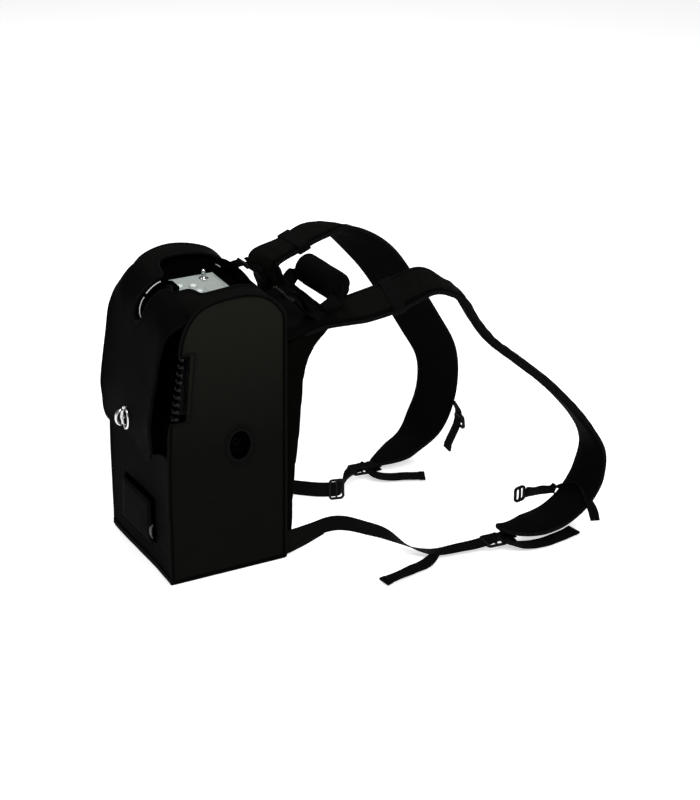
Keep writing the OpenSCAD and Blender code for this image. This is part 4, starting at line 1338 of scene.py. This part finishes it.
# buttons with a dished top, their trim rings, and the outlet nozzle with its barb
for tag, (x, y) in {"left": (-2, -16), "centre": (5, 2), "right": (28, 2)}.items():
    lathe(f"button_{tag}_cap", [(5.1, -0.9), (5.1, 1.1), (4.7, 1.9), (3.6, 2.4), (2.2, 2.2), (0.1, 2.0)],
          (x, y, 414.0), UPRIGHT, "button_pale", f"button_{tag}", n=36, node=f"button_{tag}")
    lathe(f"button_{tag}_trim", [(5.6, 0.0), (7.2, 0.0), (7.2, 0.5), (6.8, 0.9), (5.9, 0.9), (5.5, 0.5)],
          (x, y, 413.9), UPRIGHT, "panel_silver", "case", n=36)
lathe("nozzle_barb",
      [(7.0, 0), (7.0, 1.6), (6.4, 2.3), (4.2, 2.6), (3.1, 3.2), (3.0, 5.4), (3.6, 5.8), (2.9, 8.2),
       (2.8, 8.6),
       (3.5, 9.0), (2.8, 11.6), (2.8, 12.2), (3.3, 12.6), (2.5, 14.8), (1.2, 15.0)],
      (-18, 28, 412.2), UPRIGHT, "nickel", "case", n=36, node="outlet_nozzle")

# two raised frames on the silver panel
for k, (x0, x1, y0, y1, z, t) in enumerate(((-31, 56, -24, 46, 414.0, 1.2), (12, 50, 14, 42, 414.1, 0.9))):
    P = [(x, y, z) for x, _, y in rect_path(x0, x1, y0, y1, 6, 0)]
    o = sweep(f"panel_rim_{k}", closed_even(np.array(P), 2.0), UPRIGHT,
              lambda i, s, t=t: round_rect(t, 2.2, 0.5),
              "panel_silver", closed=True)
    place(o, "case")
# collar of the power inlet, deep in the round port
lathe("inlet_collar", [(9.6, 0.0), (10.4, 1.5), (10.4, 3.2), (9.8, 4.0), (9.0, 4.0), (8.6, 3.2), (8.6, 0.0)],
      (87.0, 23, 203), ACROSS, "shell_plastic", "case", n=48)

# ---------------------------------------------------------------- floor, light and camera
def stage_mesh(name, V, F, mat):
    me = bpy.data.meshes.new(name)
    me.from_pydata(V, [], F)
    me.materials.append(mat)
    o = bpy.data.objects.new(name, me)
    bpy.context.scene.collection.objects.link(o)


FLOOR_HALF, FLOOR_Z = 9, -0.0005
fm, ft, fb_ = material("pale_floor")
n1 = add(ft, "ShaderNodeTexNoise", Scale=1.5, Detail=3.0)
ft.links.new(two_tone(ft, n1.outputs[0], (0.86, 0.86, 0.86), (0.9, 0.9, 0.9)), fb_.inputs["Base Color"])
fb_.inputs["Roughness"].default_value = 0.9
fb_.inputs["Specular IOR Level"].default_value = 0.1
fb_.inputs["Emission Color"].default_value = (1, 1, 1, 1)
fb_.inputs["Emission Strength"].default_value = 0.6
stage_mesh("floor", [(x * FLOOR_HALF, y * FLOOR_HALF, FLOOR_Z)
                     for x, y in ((-1, -1), (1, -1), (1, 1), (-1, 1))],
           [(0, 1, 2, 3)], fm)

world = bpy.data.worlds.new("studio")
bpy.context.scene.world = world
world.use_nodes = True
wt = world.node_tree
bg = wt.nodes["Background"]
bg.inputs[0].default_value = (1, 1, 1, 1)
seen = wt.nodes.new("ShaderNodeLightPath")
strength = wt.nodes.new("ShaderNodeMapRange")
strength.inputs["To Min"].default_value = 0.16
strength.inputs["To Max"].default_value = 1.0
wt.links.new(seen.outputs["Is Camera Ray"], strength.inputs["Value"])
wt.links.new(strength.outputs[0], bg.inputs[1])

AZ, EL, DIST = math.radians(62.9), math.radians(24.95), 3.05
target = Vector((0, 0.255, 0.180))
cam_pos = target + DIST * Vector((math.sin(AZ) * math.cos(EL), -math.cos(AZ) * math.cos(EL), math.sin(EL)))


def area(name, pos, aim, size, power, colour=(1, 1, 1)):
    d = bpy.data.lights.new(name, "AREA")
    d.shape = "RECTANGLE"
    d.size, d.size_y = size
    d.energy = power
    d.color = colour
    o = bpy.data.objects.new(name, d)
    o.location = pos
    o.rotation_euler = (Vector(aim) - Vector(pos)).to_track_quat("-Z", "Y").to_euler()
    bpy.context.scene.collection.objects.link(o)


area("key", (2.4, -0.9, 2.9), (0, 0.1, 0.3), (1.5, 1.5), 60)
area("side", (2.8, 1.4, 2.0), (0, 0.2, 0.3), (1.4, 1.2), 24)
area("upper", (1.3, 0.15, 1.25), (0.1, 0.02, 0.36), (0.7, 0.7), 7)
area("rim", (-1.8, 0.6, 2.6), (0, 0.1, 0.3), (1.2, 1.0), 45)

cam = bpy.data.cameras.new("camera")
cam.lens = 90
cam.sensor_width = 36
cam.sensor_fit = "AUTO"
cam_o = bpy.data.objects.new("camera", cam)
cam_o.location = cam_pos
cam_o.rotation_euler = (target - cam_pos).to_track_quat("-Z", "Y").to_euler()
bpy.context.scene.collection.objects.link(cam_o)
bpy.context.scene.camera = cam_o
bpy.context.scene.view_settings.view_transform = "Standard"

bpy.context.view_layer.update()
